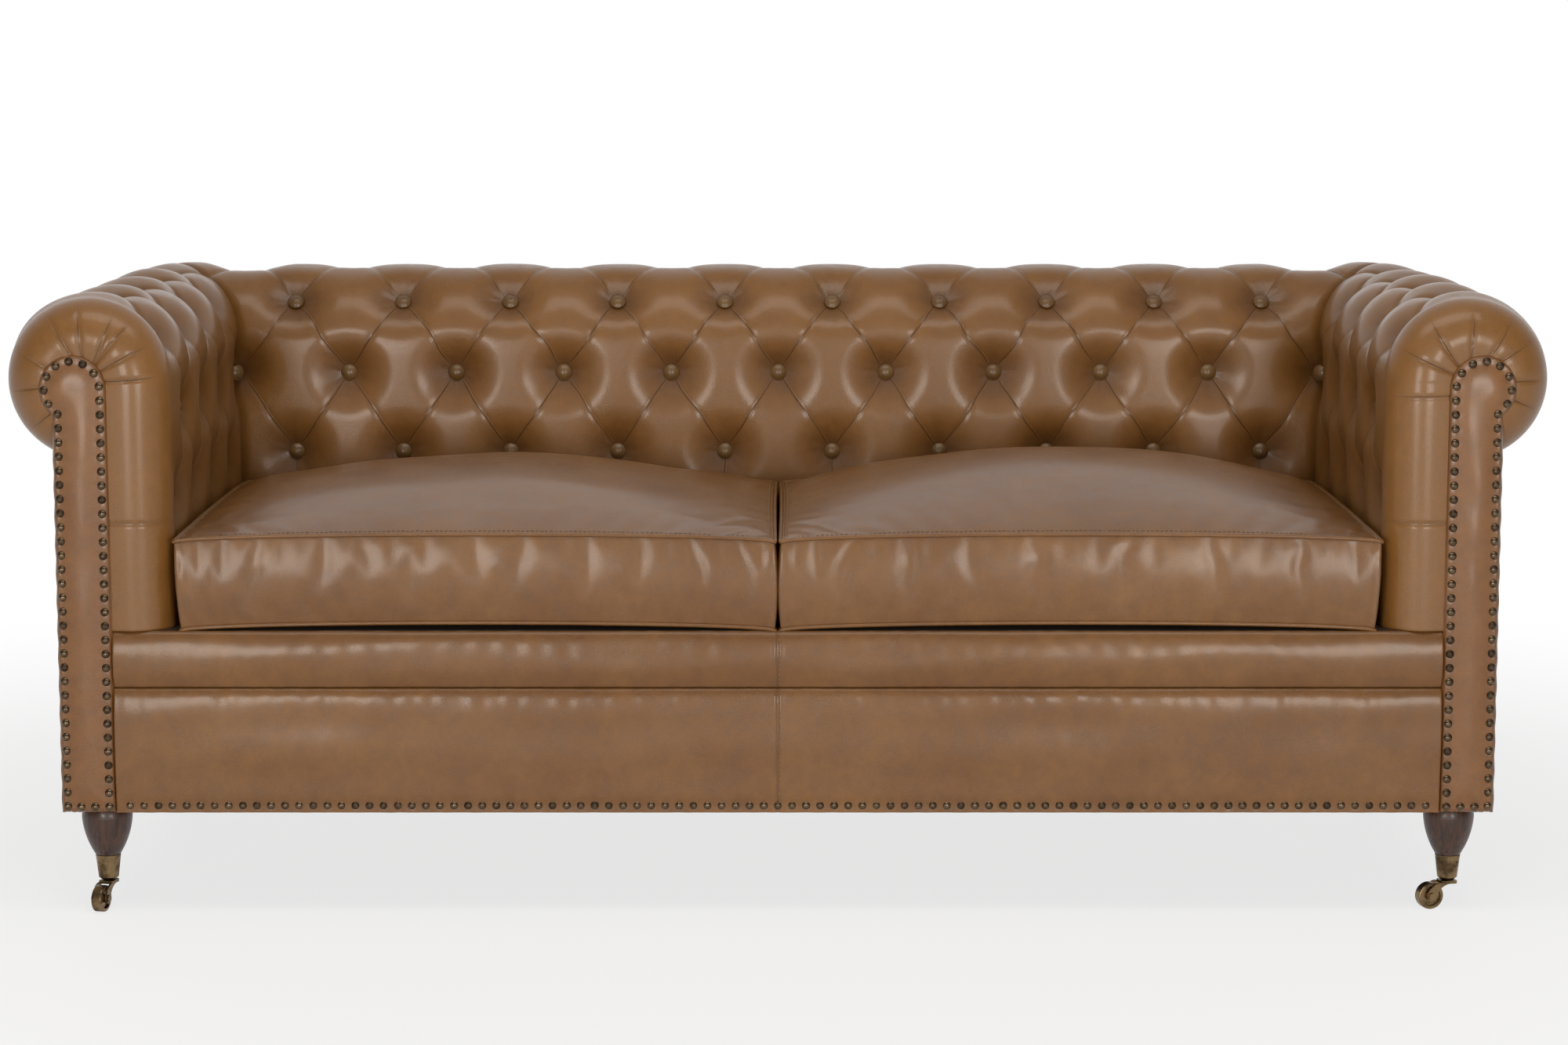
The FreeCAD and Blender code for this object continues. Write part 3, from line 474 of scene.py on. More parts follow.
        return Relief(proud, 1.0 - hollow, folds * pull, first, second, scale)


def shell_piece(name: str, outer: Array, inner: Array, body: str) -> bpy.types.Object:
    """Makes a closed shell from two grids of points, an outer and an inner one.

    Args:
        name: The piece's name.
        outer: Points of the outer face, as rows by columns by 3.
        inner: Points of the inner face, laid out alike.
        body: The body that it moves with.

    Returns:
        The new object. Its first points are those of the outer face, row by row.
    """
    rows, columns = outer.shape[:2]
    count = rows * columns
    face = grid_faces(rows, columns)
    index = np.arange(count).reshape(rows, columns)
    rims = []
    for line, turned in ((index[0], False), (index[-1], True), (index[:, 0], True), (index[:, -1], False)):
        rim = np.stack([line[:-1], line[:-1] + count, line[1:] + count, line[1:]], axis=-1)
        rims.append(rim[:, ::-1] if turned else rim)
    faces = np.concatenate([face, face[:, ::-1] + count, *rims])
    points = np.concatenate([outer.reshape(-1, 3), inner.reshape(-1, 3)])
    return mesh_piece(name, points, outward(points, faces), body)


def outward(points: Array, faces: Array) -> Array:
    """Turns a closed mesh's quads over if they face inwards."""
    a, b, c, d = (points[faces[:, i]] for i in range(4))
    volume = np.einsum("ij,ij->i", a, np.cross(b, c)).sum() + np.einsum("ij,ij->i", a, np.cross(c, d)).sum()
    return faces if volume > 0 else faces[:, ::-1]


@dataclass
class CoverFront:
    """How an arm's cover turns in at its front and is gathered round the facing."""

    round_in: float = 0.055
    round_back: float = 0.044
    flat_end: float = 0.081
    belly: float = 0.0035
    pleat_depth: float = 0.0014
    pleat_width: float = 0.0030
    pleat_lift: float = 0.0011
    pleat_start: float = 0.012
    pleat_full: float = 0.064
    pleat_unit: float = 0.046
    seam_height: float = 0.140
    seam_depth: float = 0.0016
    seam_width: float = 0.0022
    seam_start: tuple[float, float] = (0.010, 0.030)
    lean: tuple[float, float] = (-0.16, 0.16)
    strength: tuple[float, float] = (0.75, 1.15)
    far_side: float = -0.35
    lift_reach: float = 0.008
    narrow_reach: float = 0.070
    turn_pull: float = 0.5
    lines: float = 0.8
    lining_edge: float = 0.010
    seeds: tuple[int, int] = (91, 92)
    pleats: dict[Side, tuple[float, ...]] = field(default_factory=lambda: {
        Side.LEFT: (4.0, 27.0, 50.0, 67.0, 96.0, 121.0, 156.0, 188.0, 220.0),
        Side.RIGHT: (-12.0, 25.0, 58.0, 96.0, 124.0, 150.0, 180.0, 204.0),
    })


@dataclass
class ArmCover:
    """The tufted cover of one arm, from the mitre to the gathers round the facing."""

    side: Side
    outline: RollOutline = field(default_factory=RollOutline)
    pattern: TuftPattern = field(default_factory=lambda: TuftPattern(
        roll_fold_depth=0.0042, roll_fold_width=0.0090, roll_rise=0.0135))
    front: CoverFront = field(default_factory=CoverFront)
    rows: int = 300
    columns: int = 220
    round_columns: int = 16
    flat_columns: int = 14
    last_column: int = 7
    fade_start: float = 0.560
    fade_end: float = 0.602
    mitre_depth: float = 0.006
    mitre_width: float = 0.006
    mitre_gap: float = 0.0006
    passes: int = 3
    seeds: tuple[int, int] = (11, 23)
    thread_lean: float = -0.5

    def build(self) -> list[bpy.types.Object]:
        """Builds the cover and stores what its leather reads.

        Returns:
            The cover, in place of the CAD node, and the stitches of its seam.
        """
        line = self.outline
        turn_start = line.front + self.front.round_back
        s = np.linspace(0.0, line.length, self.rows)[:, None]
        share = np.linspace(0.0, 1.0, self.columns)[None, :]
        reach = np.zeros((self.rows, self.columns))
        seed = self.side.pick(*self.seeds)
        buttons = self.pattern.buttons(0, self.last_column)
        for _ in range(self.passes):
            mitre = line.back_face + reach[:, :1] - self.mitre_gap
            y = mitre + (turn_start - mitre) * share
            relief = self.pattern.relief(line.back_face - y, s + 0.0 * y, mitre - y, buttons, seed)
            hold = 1.0 - smooth_step(self.fade_start, self.fade_end, line.back_face - y)
            seam = bell(mitre - y, self.mitre_width)
            proud = relief.proud * hold - self.mitre_depth * seam
            reach, _ = line.reach(s + 0.0 * y, proud)
        # Painted shade: a mask that darkens the tufting's folds and the mitre seam.
        crease = np.maximum(relief.crease * hold, seam)
        turn = np.linspace(0.0, math.pi / 2.0, self.round_columns + 1)[None, 1:]
        flat = np.linspace(0.0, 1.0, self.flat_columns + 1)[None, 1:]
        inward = np.concatenate([
            self.front.round_in * (1.0 - np.cos(turn)),
            self.front.round_in + (self.front.flat_end - self.front.round_in) * flat], axis=1)
        forward = np.concatenate([
            turn_start - self.front.round_back * np.sin(turn), line.front + 0.0 * flat], axis=1)
        bulge = np.sin(math.pi * np.clip(inward / self.front.flat_end, 0.0, 1.0))
        proud_turn = np.broadcast_to(-inward, (self.rows, inward.shape[1])).copy()
        y_turn = np.broadcast_to(forward, proud_turn.shape) - self.front.belly * bulge
        past = inward + (turn_start - forward) * self.front.turn_pull
        path = np.concatenate([np.zeros_like(share), past], axis=1)
        rise = smooth_step(self.front.pleat_start, self.front.pleat_full, path) + 0.0 * s
        groove, lift = self.gathers(s, path, rise)
        y_all = np.concatenate([y, y_turn], axis=1)
        proud_all = np.concatenate([proud, proud_turn], axis=1)
        facing_share = np.concatenate([np.zeros_like(share), np.sin(turn), 1.0 + 0.0 * flat], axis=1)
        change = lift - groove
        proud_all = proud_all + change * (1.0 - facing_share)
        y_all = y_all - change * facing_share
        outward_all, height_all = line.reach(s + 0.0 * y_all, proud_all)
        outer = self.place(outward_all, y_all, height_all)
        inner = self.lining(s, y_all.shape[1])
        name = f"tufted_arm_{self.side.value}"
        piece = shell_piece(name, outer, inner, "sofa")
        front = np.zeros_like(proud_turn)
        gathered = np.broadcast_to(path > 0.0, rise.shape)
        # Painted shade: the pleat grooves round the front are darkened too.
        crease = np.concatenate([crease, front], axis=1) + groove / self.front.pleat_depth
        unit = np.concatenate([relief.unit, front], axis=1)
        paint(piece, pulled=np.concatenate([relief.pulled * hold, front], axis=1),
              crease=np.clip(crease, 0.0, 1.0),
              tufted=np.concatenate([hold, front], axis=1) + self.front.lines * rise,
              unit=np.where(gathered, self.front.pleat_unit, unit))
        first = np.concatenate([relief.first, front], axis=1)
        second = np.concatenate([relief.second, front], axis=1)
        paint_lattice(piece, np.where(gathered, self.pleat_number(s, path), first),
                      np.where(gathered, 0.5, second))
        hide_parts(f"arm_cover_{self.side.value}")
        return [piece, self.seam_stitches(outer, s)]

    def seam_stitches(self, outer: Array, s: Array) -> bpy.types.Object:
        """The thread along the seam across the arm's front.

        Args:
            outer: The cover's outer face.
            s: Lengths along the outline.

        Returns:
            The stitches.
        """
        level = int(np.argmin(np.abs(s[:, 0] - self.front.seam_height - self.front.seam_width)))
        first = self.columns + self.round_columns // 2
        path = outer[level, first:first + self.round_columns]
        lean = np.linspace(self.thread_lean, 0.0, len(path)) * self.side.sign
        out = np.stack([lean, lean * 0.0 - 1.0, lean * 0.0], axis=-1)
        return StitchRow(f"arm_thread_{self.side.value}", "sofa").build(path, out)

    def pleats(self, path: Array) -> list[tuple[Array, float]]:
        """The pleats round the arm's front.

        Args:
            path: How far each column lies past the side face.

        Returns:
            Each pleat's line, as a length along the outline in each column, and its strength.
        """
        line = self.outline
        draw = np.random.default_rng(self.side.pick(*self.front.seeds))
        pleats = []
        for angle in self.front.pleats[self.side]:
            lean = draw.uniform(*self.front.lean)
            strength = draw.uniform(*self.front.strength)
            centre = line.face_height + line.roll_radius * math.radians(angle) + lean * path
            pleats.append((centre, strength))
        return pleats

    def pleat_number(self, s: Array, path: Array) -> Array:
        """A number that is whole on each pleat round the arm's front.

        Args:
            s: Lengths along the outline.
            path: How far each column lies past the side face.

        Returns:
            The numbers.
        """
        lines = [centre for centre, _ in self.pleats(path)]
        number = np.full(np.broadcast(s, path).shape, -0.5)
        for index in range(len(lines) - 1):
            share = (s - lines[index]) / (lines[index + 1] - lines[index])
            number = np.where(share >= 0.0, index + np.minimum(share, 1.0), number)
        before = (s - lines[0]) / self.front.pleat_unit
        number = np.where(before < 0.0, np.maximum(before, -0.5), number)
        after = (s - lines[-1]) / self.front.pleat_unit
        return np.where(after > 0.0, len(lines) - 1 + np.minimum(after, 0.5), number)

    def gathers(self, s: Array, path: Array, rise: Array) -> tuple[Array, Array]:
        """The pleats round the arm's front.

        Args:
            s: Lengths along the outline.
            path: How far each column lies past the side face.
            rise: How much of the pleats each place has.

        Returns:
            How deep the pleats cut, and how much the leather lifts beside them.
        """
        front = self.front
        groove = np.zeros_like(rise)
        lift = np.zeros_like(rise)
        shrink = 1.0 - np.minimum(path, front.narrow_reach) / self.outline.roll_radius
        narrow = np.where(s > self.outline.face_height, shrink, 1.0)
        for centre, strength in self.pleats(path):
            gap = (s - centre) * narrow
            groove += front.pleat_depth * strength * bell(gap, front.pleat_width)
            side = np.where(gap > 0.0, 1.0, front.far_side)
            lift += front.pleat_lift * strength * side * fade(np.abs(gap), front.lift_reach)
        seam = front.seam_depth * bell(s - front.seam_height, front.seam_width)
        on_front = np.broadcast_to(smooth_step(*front.seam_start, path), rise.shape)
        return groove * rise + seam * on_front, lift * rise

    def lining(self, s: Array, columns: int) -> Array:
        """The inner face, which the foam carries.

        Args:
            s: Lengths along the outline.
            columns: Number of columns of the outer face.

        Returns:
            The inner face's points.
        """
        line = self.outline
        inside = -line.thickness * np.ones((self.rows, columns))
        turned = self.round_columns + self.flat_columns
        inside[:, -turned:] -= (self.front.flat_end - line.thickness) * np.linspace(0.0, 1.0, turned)
        reach, height = line.reach(s + 0.0 * inside, inside)
        end = line.front + self.front.lining_edge
        start = line.back_face + reach[:, :1] - self.mitre_gap
        share = np.ones(columns)
        share[:-turned] = np.linspace(0.0, 1.0, columns - turned)
        return self.place(reach, start + (end - start) * share, height)

    def place(self, outward_by: Array, y: Array, height: Array) -> Array:
        """Puts places of the outline on this arm."""
        x = self.side.sign * (self.outline.half_seat + outward_by)
        return np.stack([x, y, height], axis=-1)


@dataclass
class BackCover:
    """The tufted cover of the back, from mitre to mitre."""

    outline: RollOutline = field(default_factory=RollOutline)
    pattern: TuftPattern = field(default_factory=lambda: TuftPattern(
        roll_fold_depth=0.0010, roll_rise=0.0016, top_reach=0.055, top_core_share=0.80))
    lines_top: float = 0.35
    lines_rows: tuple[float, float] = (0.45, 1.0)
    passes: int = 3
    seed: int = 5
    rows: int = 250
    columns: int = 561
    last_column: int = 9
    corner_column: int = 10
    mitre_depth: float = 0.006
    mitre_width: float = 0.006
    mitre_gap: float = 0.0006

    def build(self) -> bpy.types.Object:
        """Builds the cover and stores what its leather reads.

        Returns:
            The cover, in place of the CAD node.
        """
        line = self.outline
        s = np.linspace(0.0, line.length, self.rows)[:, None]
        share = np.linspace(-1.0, 1.0, self.columns)[None, :]
        reach = np.zeros((self.rows, self.columns))
        buttons = self.pattern.buttons(-self.last_column, self.last_column)
        buttons += [(sign * self.corner_column, row) for row in (2, 0) for sign in (-1, 1)]
        for _ in range(self.passes):
            mitre = line.half_seat + reach - self.mitre_gap
            x = mitre * share
            relief = self.pattern.relief(x, s + 0.0 * x, mitre - np.abs(x), buttons, self.seed)
            seam = bell(mitre - np.abs(x), self.mitre_width)
            proud = relief.proud - self.mitre_depth * seam
            reach, height = line.reach(s + 0.0 * x, proud)
        inside, low = line.reach(s + 0.0 * share, -line.thickness + 0.0 * (s + share))
        half = line.half_seat - self.mitre_gap
        outer, inner = (np.stack([(half + out) * share, line.back_face + out, level], axis=-1)
                        for out, level in ((reach, height), (inside, low)))
        piece = shell_piece("tufted_back", outer, inner, "sofa")
        row = 2.0 - (s - self.pattern.row_two) / self.pattern.row_pitch + 0.0 * x
        lined = self.lines_top + (1.0 - self.lines_top) * smooth_step(*self.lines_rows, row)
        # Painted shade: the crease layer darkens the folds and the mitre seams.
        paint(piece, pulled=relief.pulled, crease=np.maximum(relief.crease * lined, seam), tufted=lined,
              unit=relief.unit)
        paint_lattice(piece, relief.first, relief.second)
        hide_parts("back_cover")
        return piece


@dataclass
class FacingPad:
    """The padded facing on an arm's front, held by a row of nails round its edge."""

    side: Side
    half_seat: float = 0.785
    inner: float = 0.076
    outer: float = 0.147
    head_centre: float = 0.120
    head_height: float = 0.691
    head_radius: float = 0.044
    bottom: float = 0.137
    back: float = -0.416
    edge: float = 0.0112
    round_radius: float = 0.0052
    puff: float = 0.0030
    puff_reach: float = 0.036
    nail_dip: float = 0.0014
    nail_reach: float = 0.0085
    top_clear: float = 0.0002
    puff_start: float = 0.004
    waver: float = 0.16
    waver_wave: float = 0.16
    waver_stretch: float = 1.5
    least_rise: float = 0.0005
    painted_edge_shade_reach: float = 0.006
    painted_edge_shade_share: float = 0.8
    seeds: tuple[int, int] = (31, 37)
    crown_rows: int = 60
    rows: int = 300
    columns: int = 40
    outline_points: tuple[int, int, int] = (160, 240, 40)

    def build(self) -> bpy.types.Object:
        """Builds the facing, with a dip at each nail.

        Returns:
            The facing, in place of the CAD node.
        """
        nails = island_centres(frame["nodes"][f"facing_nails_{self.side.value}"])
        top = self.head_height + self.head_radius - self.top_clear
        turn = np.linspace(0.0, math.pi / 2.0, self.crown_rows)
        crown = self.head_height + (top - self.head_height) * np.sin(turn)
        straight = np.linspace(self.bottom, self.head_height, self.rows - self.crown_rows + 1)[:-1]
        z = np.concatenate([straight, crown])[:, None]
        chord = np.sqrt(np.maximum(self.head_radius ** 2 - (z - self.head_height) ** 2, 0.0))
        low = np.where(z < self.head_height, self.inner, self.head_centre - chord)
        neck = math.sqrt(self.head_radius ** 2 - (self.outer - self.head_centre) ** 2)
        high = np.where(z < self.head_height - neck, self.outer, self.head_centre + chord)
        share = crowded_ends(self.columns)[None, :]
        p = low + (high - low) * share
        z = z + 0.0 * p
        rim = self.rim(p, z)
        corner = 1.0 - np.clip(rim / self.round_radius, 0.0, 1.0)
        rise = self.edge * np.sqrt(1.0 - corner * corner)
        swell = smooth_step(self.puff_start, self.puff_reach, rim)
        waver = Undulation(self.side.pick(*self.seeds), self.waver_wave)
        rise = rise + self.puff * swell * (1.0 + self.waver * waver.at(p * self.waver_stretch, z))
        for nail in nails:
            far = np.hypot(abs(nail[0]) - self.half_seat - p, nail[2] - z)
            rise -= self.nail_dip * bell(far, self.nail_reach)
        y = self.back - np.maximum(rise, self.least_rise)
        x = self.side.sign * (self.half_seat + p)
        front = np.stack([x, y, z], axis=-1)
        rear = np.stack([x, self.back + 0.0 * y, z], axis=-1)
        piece = shell_piece(f"arm_facing_{self.side.value}", front, rear, "sofa")
        # Painted shade: darker near the facing's edge.
        paint(piece, crease=self.painted_edge_shade_share * fade(rim, self.painted_edge_shade_reach), pulled=0.0)
        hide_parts(f"facing_{self.side.value}")
        return piece

    def rim(self, p: Array, z: Array) -> Array:
        """How far places lie inside the facing's outline.

        Args:
            p: Distances outwards from the sitter's side.
            z: Heights.

        Returns:
            The distances to the outline.
        """
        turn_out = math.acos((self.outer - self.head_centre) / self.head_radius)
        on_head, on_side, on_foot = self.outline_points
        turns = np.linspace(-turn_out, math.pi, on_head)
        head = np.stack([self.head_centre + self.head_radius * np.cos(turns),
                         self.head_height + self.head_radius * np.sin(turns)], axis=-1)
        inner = np.stack([np.full(on_side, self.inner),
                          np.linspace(self.bottom, self.head_height, on_side)], axis=-1)
        neck = self.head_height - self.head_radius * math.sin(turn_out)
        outer = np.stack([np.full(on_side, self.outer), np.linspace(self.bottom, neck, on_side)], axis=-1)
        foot = np.stack([np.linspace(self.inner, self.outer, on_foot),
                         np.full(on_foot, self.bottom)], axis=-1)
        least = np.full(p.shape, 1.0)
        for place_p, place_z in np.concatenate([head, inner, outer, foot]):
            np.minimum(least, np.hypot(p - place_p, z - place_z), out=least)
        return least


@dataclass
class FrontPanel:
    """A long padded panel across the sofa's front: the rolled lip or the nailed border."""

    name: str
    node: str
    low: float
    high: float
    front: float
    puff: float
    fullest: float
    back: float = -0.4163
    reach: float = 0.8607
    seam_depth: float = 0.0016
    seam_width: float = 0.0014
    pucker: float = 0.0004
    wave: float = 0.0007
    seam_swell: float = 0.0004
    shoulder: float = 0.75
    below_power: float = 2.2
    above_power: float = 1.8
    rim_power: float = 8.0
    long_wave: float = 0.30
    long_stretch: float = 3.0
    short_wave: float = 0.055
    short_stretch: float = 0.35
    short_waves: int = 9
    edge_reach: float = 0.016
    plain_pucker: float = 0.25
    swell_at: float = 0.005
    swell_width: float = 0.004
    least_rise: float = 0.0006
    painted_top_shade_reach: float = 0.006
    painted_top_shade_share: float = 0.7
    thread_ends: int = 4
    nails_node: str | None = None
    nail_dip: float = 0.0016
    nail_reach: float = 0.0075
    rows: int = 44
    columns: int = 861
    seed: int = 41

    def build(self) -> list[bpy.types.Object]:
        """Builds the panel with its middle seam, puckers and, where it has nails, their dips.

        Returns:
            The panel, in place of the CAD node, and the stitches beside its seam.
        """
        share = crowded_ends(self.rows)[:, None]
        x = np.linspace(-self.reach, self.reach, self.columns)[None, :]
        z = self.low + (self.high - self.low) * share + 0.0 * x
        x = x + 0.0 * z
        below = np.clip((self.fullest - z) / (self.fullest - self.low), 0.0, 1.0)
        above = np.clip((z - self.fullest) / (self.high - self.fullest), 0.0, 1.0)
        rim = np.sqrt(np.maximum(1.0 - above ** self.rim_power, 0.0))
        crown = np.where(z < self.fullest, 1.0 - below ** self.below_power,
                         rim * (1.0 - self.shoulder * above ** self.above_power))
        rise = (self.back - self.front) * rim + self.puff * crown
        long_wave = Undulation(self.seed, self.long_wave).at(x, self.long_stretch * z)
        ripples = Undulation(self.seed + 1, self.short_wave, self.short_waves)
        short_wave = ripples.at(x, self.short_stretch * z)
        near_edge = fade(self.high - z, self.edge_reach) + fade(z - self.low, self.edge_reach)
        rise += self.wave * long_wave * np.minimum(crown, 1.0)
        rise += self.pucker * short_wave * np.clip(self.plain_pucker + near_edge, 0.0, 1.0)
        seam = bell(x, self.seam_width)
        rise += self.seam_swell * bell(np.abs(x) - self.swell_at, self.swell_width)
        rise -= self.seam_depth * seam
        if self.nails_node:
            for nail in island_centres(frame["nodes"][self.nails_node]):
                far = np.hypot(nail[0] - x, nail[2] - z)
                rise -= self.nail_dip * bell(far, self.nail_reach)
        y = self.back - np.maximum(rise, self.least_rise)
        front = np.stack([x, y, z], axis=-1)
        rear = np.stack([x, self.back + 0.0 * y, z], axis=-1)
        piece = shell_piece(self.name, front, rear, "sofa")
        # Painted shade: darker along the middle seam and towards the top edge, where the panel lies under the
        # cushions or the lip.
        shade = np.clip(seam + self.painted_top_shade_share * fade(self.high - z, self.painted_top_shade_reach), 0.0, 1.0)
        paint(piece, crease=shade, pulled=0.0)
        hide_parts(self.node)
        path = front[self.thread_ends:-self.thread_ends, self.columns // 2 + 1]
        row = StitchRow(f"{self.name}_thread", "sofa")
        return [piece, row.build(path, np.tile((0.0, -1.0, 0.0), (len(path), 1)))]


@dataclass
class OutsidePanel:
    """A plain leather panel on the sofa's outside, drawn over the frame under the roll."""

    name: str
    node: str
    out: float = 0.0012
    wave: float = 0.0016
    step: float = 0.009
    hold_reach: float = 0.05
    wavelength: float = 0.5
    stretch: float = 1.7
    painted_edge_shade_reach: float = 0.006
    painted_edge_shade_share: float = 0.7
    seed: int = 61

    def build(self) -> bpy.types.Object:
        """Builds the panel with the slight waves of stretched leather.

        Returns:
            The panel, in place of the CAD node.
        """
        low, high = (np.array(corner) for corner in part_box(self.node))
        thin = int(np.argmin(high[:2] - low[:2]))
        wide = 1 - thin
        sign = 1.0 if low[thin] + high[thin] > 0.0 else -1.0
        face, inside = (high[thin], low[thin]) if sign > 0 else (low[thin], high[thin])
        across = np.linspace(low[wide], high[wide], int((high[wide] - low[wide]) / self.step))[None, :]
        up = np.linspace(low[2], high[2], int((high[2] - low[2]) / self.step))[:, None]
        across, up = across + 0.0 * up, up + 0.0 * across
        rim = np.minimum(np.minimum(across - low[wide], high[wide] - across),
                         np.minimum(up - low[2], high[2] - up))
        hold = smooth_step(0.0, self.hold_reach, rim)
        wave = Undulation(self.seed, self.wavelength).at(across, self.stretch * up)
        height = sign * (self.out * hold + self.wave * hold * wave)
        outer = np.empty(across.shape + (3,))
        outer[..., thin] = face + height
        outer[..., wide] = across
        outer[..., 2] = up
        inner = outer.copy()
        inner[..., thin] = inside
        piece = shell_piece(self.name, outer, inner, "sofa")
        # Painted shade: darker near the panel's edges.
        paint(piece, crease=self.painted_edge_shade_share * fade(rim, self.painted_edge_shade_reach), pulled=0.0)
        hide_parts(self.node)
        return piece


def block_surface(counts: tuple[int, int, int]) -> tuple[Array, Array]:
    """The surface of a block that is divided along its three sides.

    Args:
        counts: Number of divisions along each side.

    Returns:
        The surface's lattice places as whole numbers, and its quads.
    """
    nu, nv, nw = counts
    number = -np.ones((nu + 1, nv + 1, nw + 1), dtype=np.int64)
    grids = np.meshgrid(np.arange(nu + 1), np.arange(nv + 1), np.arange(nw + 1), indexing="ij")
    lattice = np.stack(grids, axis=-1)
    rim = np.zeros(number.shape, dtype=bool)
    for axis, count in enumerate(counts):
        rim |= (lattice[..., axis] == 0) | (lattice[..., axis] == count)
    number[rim] = np.arange(int(rim.sum()))
    quads = []
    for axis, count in enumerate(counts):
        for level in (0, count):
            sheet = np.take(number, level, axis=axis)
            quad = np.stack([sheet[:-1, :-1], sheet[1:, :-1], sheet[1:, 1:], sheet[:-1, 1:]], axis=-1)
            quad = quad.reshape(-1, 4)
            quads.append(quad if (level == 0) == (axis == 1) else quad[:, ::-1])
    return lattice[rim], np.concatenate(quads)


@dataclass
class CushionShape:
    """The crowned form of a seat cushion: that of its CAD solid, a little fuller at the seams."""

    side: Side
    half_seat: float = 0.785
    side_clear: float = 0.005
    gap: float = 0.008
    deck: float = 0.376
    edge_height: float = 0.116
    crown: float = 0.078
    crown_less: float = 0.0
    dome_power: float = 0.90
    end_crown: float = 0.007
    front: float = -0.416
    back: float = 0.206
    lift: float = 0.009
    lift_depth: float = 0.110
    belly: float = 0.005
    draw: float = 0.007
    fullness: float = 0.0015
    foot_taper: float = 0.007
    pressed: float = 0.2
    bulge: float = 0.0030
    end_reach: float = 0.06
    front_reach: float = 0.02
    foot_reach: float = 0.25
    level_hold: float = 0.45
    lean_power: float = 1.06
    depth_power: float = 0.90

    @property
    def ends(self) -> tuple[float, float]:
        """The cushion's two ends along X, the outer one first."""
        outer = self.half_seat - self.side_clear
        return self.side.sign * outer, self.side.sign * self.gap / 2.0

    def surface(self, u: Array, v: Array, w: Array) -> Array:
        """Places on the cushion.

        Args:
            u: Shares from the outer end to the inner one.
            v: Shares from front to back.
            w: Shares from bottom to top.

        Returns:
            The places, one row each.
        """
        outer, inner = self.ends
        swell = 2.0 * np.sqrt(np.clip(u * (1.0 - u), 0.0, 0.25))
        depth_swell = 1.0 - (2.0 * v - 1.0) ** 2
        front = self.front + self.draw * swell
        y = front + (self.back - front) * v
        level = 1.0 - (2.0 * w - 1.0) ** 2
        at_front = np.clip(1.0 - v / self.front_reach, 0.0, 1.0)
        y = y - self.belly * level * at_front
        bottom = self.deck + self.lift * swell * np.clip(1.0 - (y - front) / self.lift_depth, 0.0, 1.0)
        edge = self.deck + self.edge_height + self.lift * swell
        full = self.crown - self.end_crown - self.lift - self.crown_less
        along = np.clip(4.0 * u * (1.0 - u), 0.0, 1.0) ** self.dome_power
        rise = self.end_crown + full * along + self.fullness
        lean = np.clip(v, 0.0, 1.0) ** self.lean_power
        dome = (4.0 * lean * (1.0 - lean)) ** self.depth_power
        top = edge + rise * dome
        z = bottom + (top - bottom) * w
        pull = self.draw * depth_swell * (1.0 - self.level_hold * level)
        shift = pull * (1.0 - 2.0 * np.clip(u, 0.0, 1.0)) * fade(np.minimum(u, 1.0 - u), self.end_reach)
        shift *= np.where(u > 0.5, self.pressed, 1.0)
        shift += np.where(u > 0.5, self.bulge * level * fade(1.0 - u, self.end_reach), 0.0)
        taper = self.foot_taper * (1.0 - w) ** 2 * np.clip(1.0 - v / self.foot_reach, 0.0, 1.0)
        taper = taper * np.maximum(1.0 - 2.0 * u, 0.0)
        x = outer + (inner - outer) * u + np.sign(inner - outer) * (shift + taper)
        return np.stack([x, y, z], axis=-1)


def tube_faces(rings: int, sides: int, closed: bool) -> list[tuple[int, ...]]:
    """The faces of a tube.

    Args:
        rings: Number of rings of points along it.
        sides: Number of points round it.
        closed: Whether it joins its own start; if not, its ends are capped.

    Returns:
        The faces.
    """
    faces = []
    for ring in range(rings if closed else rings - 1):
        after = (ring + 1) % rings
        for side in range(sides):
            step = (side + 1) % sides
            faces.append((ring * sides + side, ring * sides + step,
                          after * sides + step, after * sides + side))
    if not closed:
        faces.append(tuple(range(sides))[::-1])
        faces.append(tuple((rings - 1) * sides + side for side in range(sides)))
    return faces


def frames_along(path: Array, out: Array, closed: bool) -> tuple[Array, Array, Array]:
    """Directions at each point of a path.

    Args:
        path: The path's points.
        out: A rough outward direction at each point.
        closed: Whether the path joins its own start.

    Returns:
        Unit vectors along the path, outwards from it, and square to both.
    """
    if closed:
        along = np.roll(path, -1, axis=0) - np.roll(path, 1, axis=0)
    else:
        along = np.gradient(path, axis=0)
    along /= np.linalg.norm(along, axis=1, keepdims=True)
    out = out - along * np.sum(out * along, axis=1, keepdims=True)
    out /= np.linalg.norm(out, axis=1, keepdims=True)
    return along, out, np.cross(along, out)


def resample(path: Array, step: float, closed: bool) -> tuple[Array, Array, Array]:
    """Even steps along a path.

    Args:
        path: The path's points.
        step: The wanted distance.
        closed: Whether it joins its own start.

    Returns:
        The point before each step, the point after it, and the share between the two.
    """
    ends = np.vstack([path, path[:1]]) if closed else path
    gaps = np.linalg.norm(np.diff(ends, axis=0), axis=1)
    reach = np.concatenate([[0.0], np.cumsum(gaps)])
    count = max(int(reach[-1] / step), 2)
    places = (np.arange(count) + 0.5) * reach[-1] / count
    before = np.clip(np.searchsorted(reach, places) - 1, 0, len(gaps) - 1)
    share = (places - reach[before]) / np.maximum(gaps[before], 1e-9)
    return before, (before + 1) % len(path), share


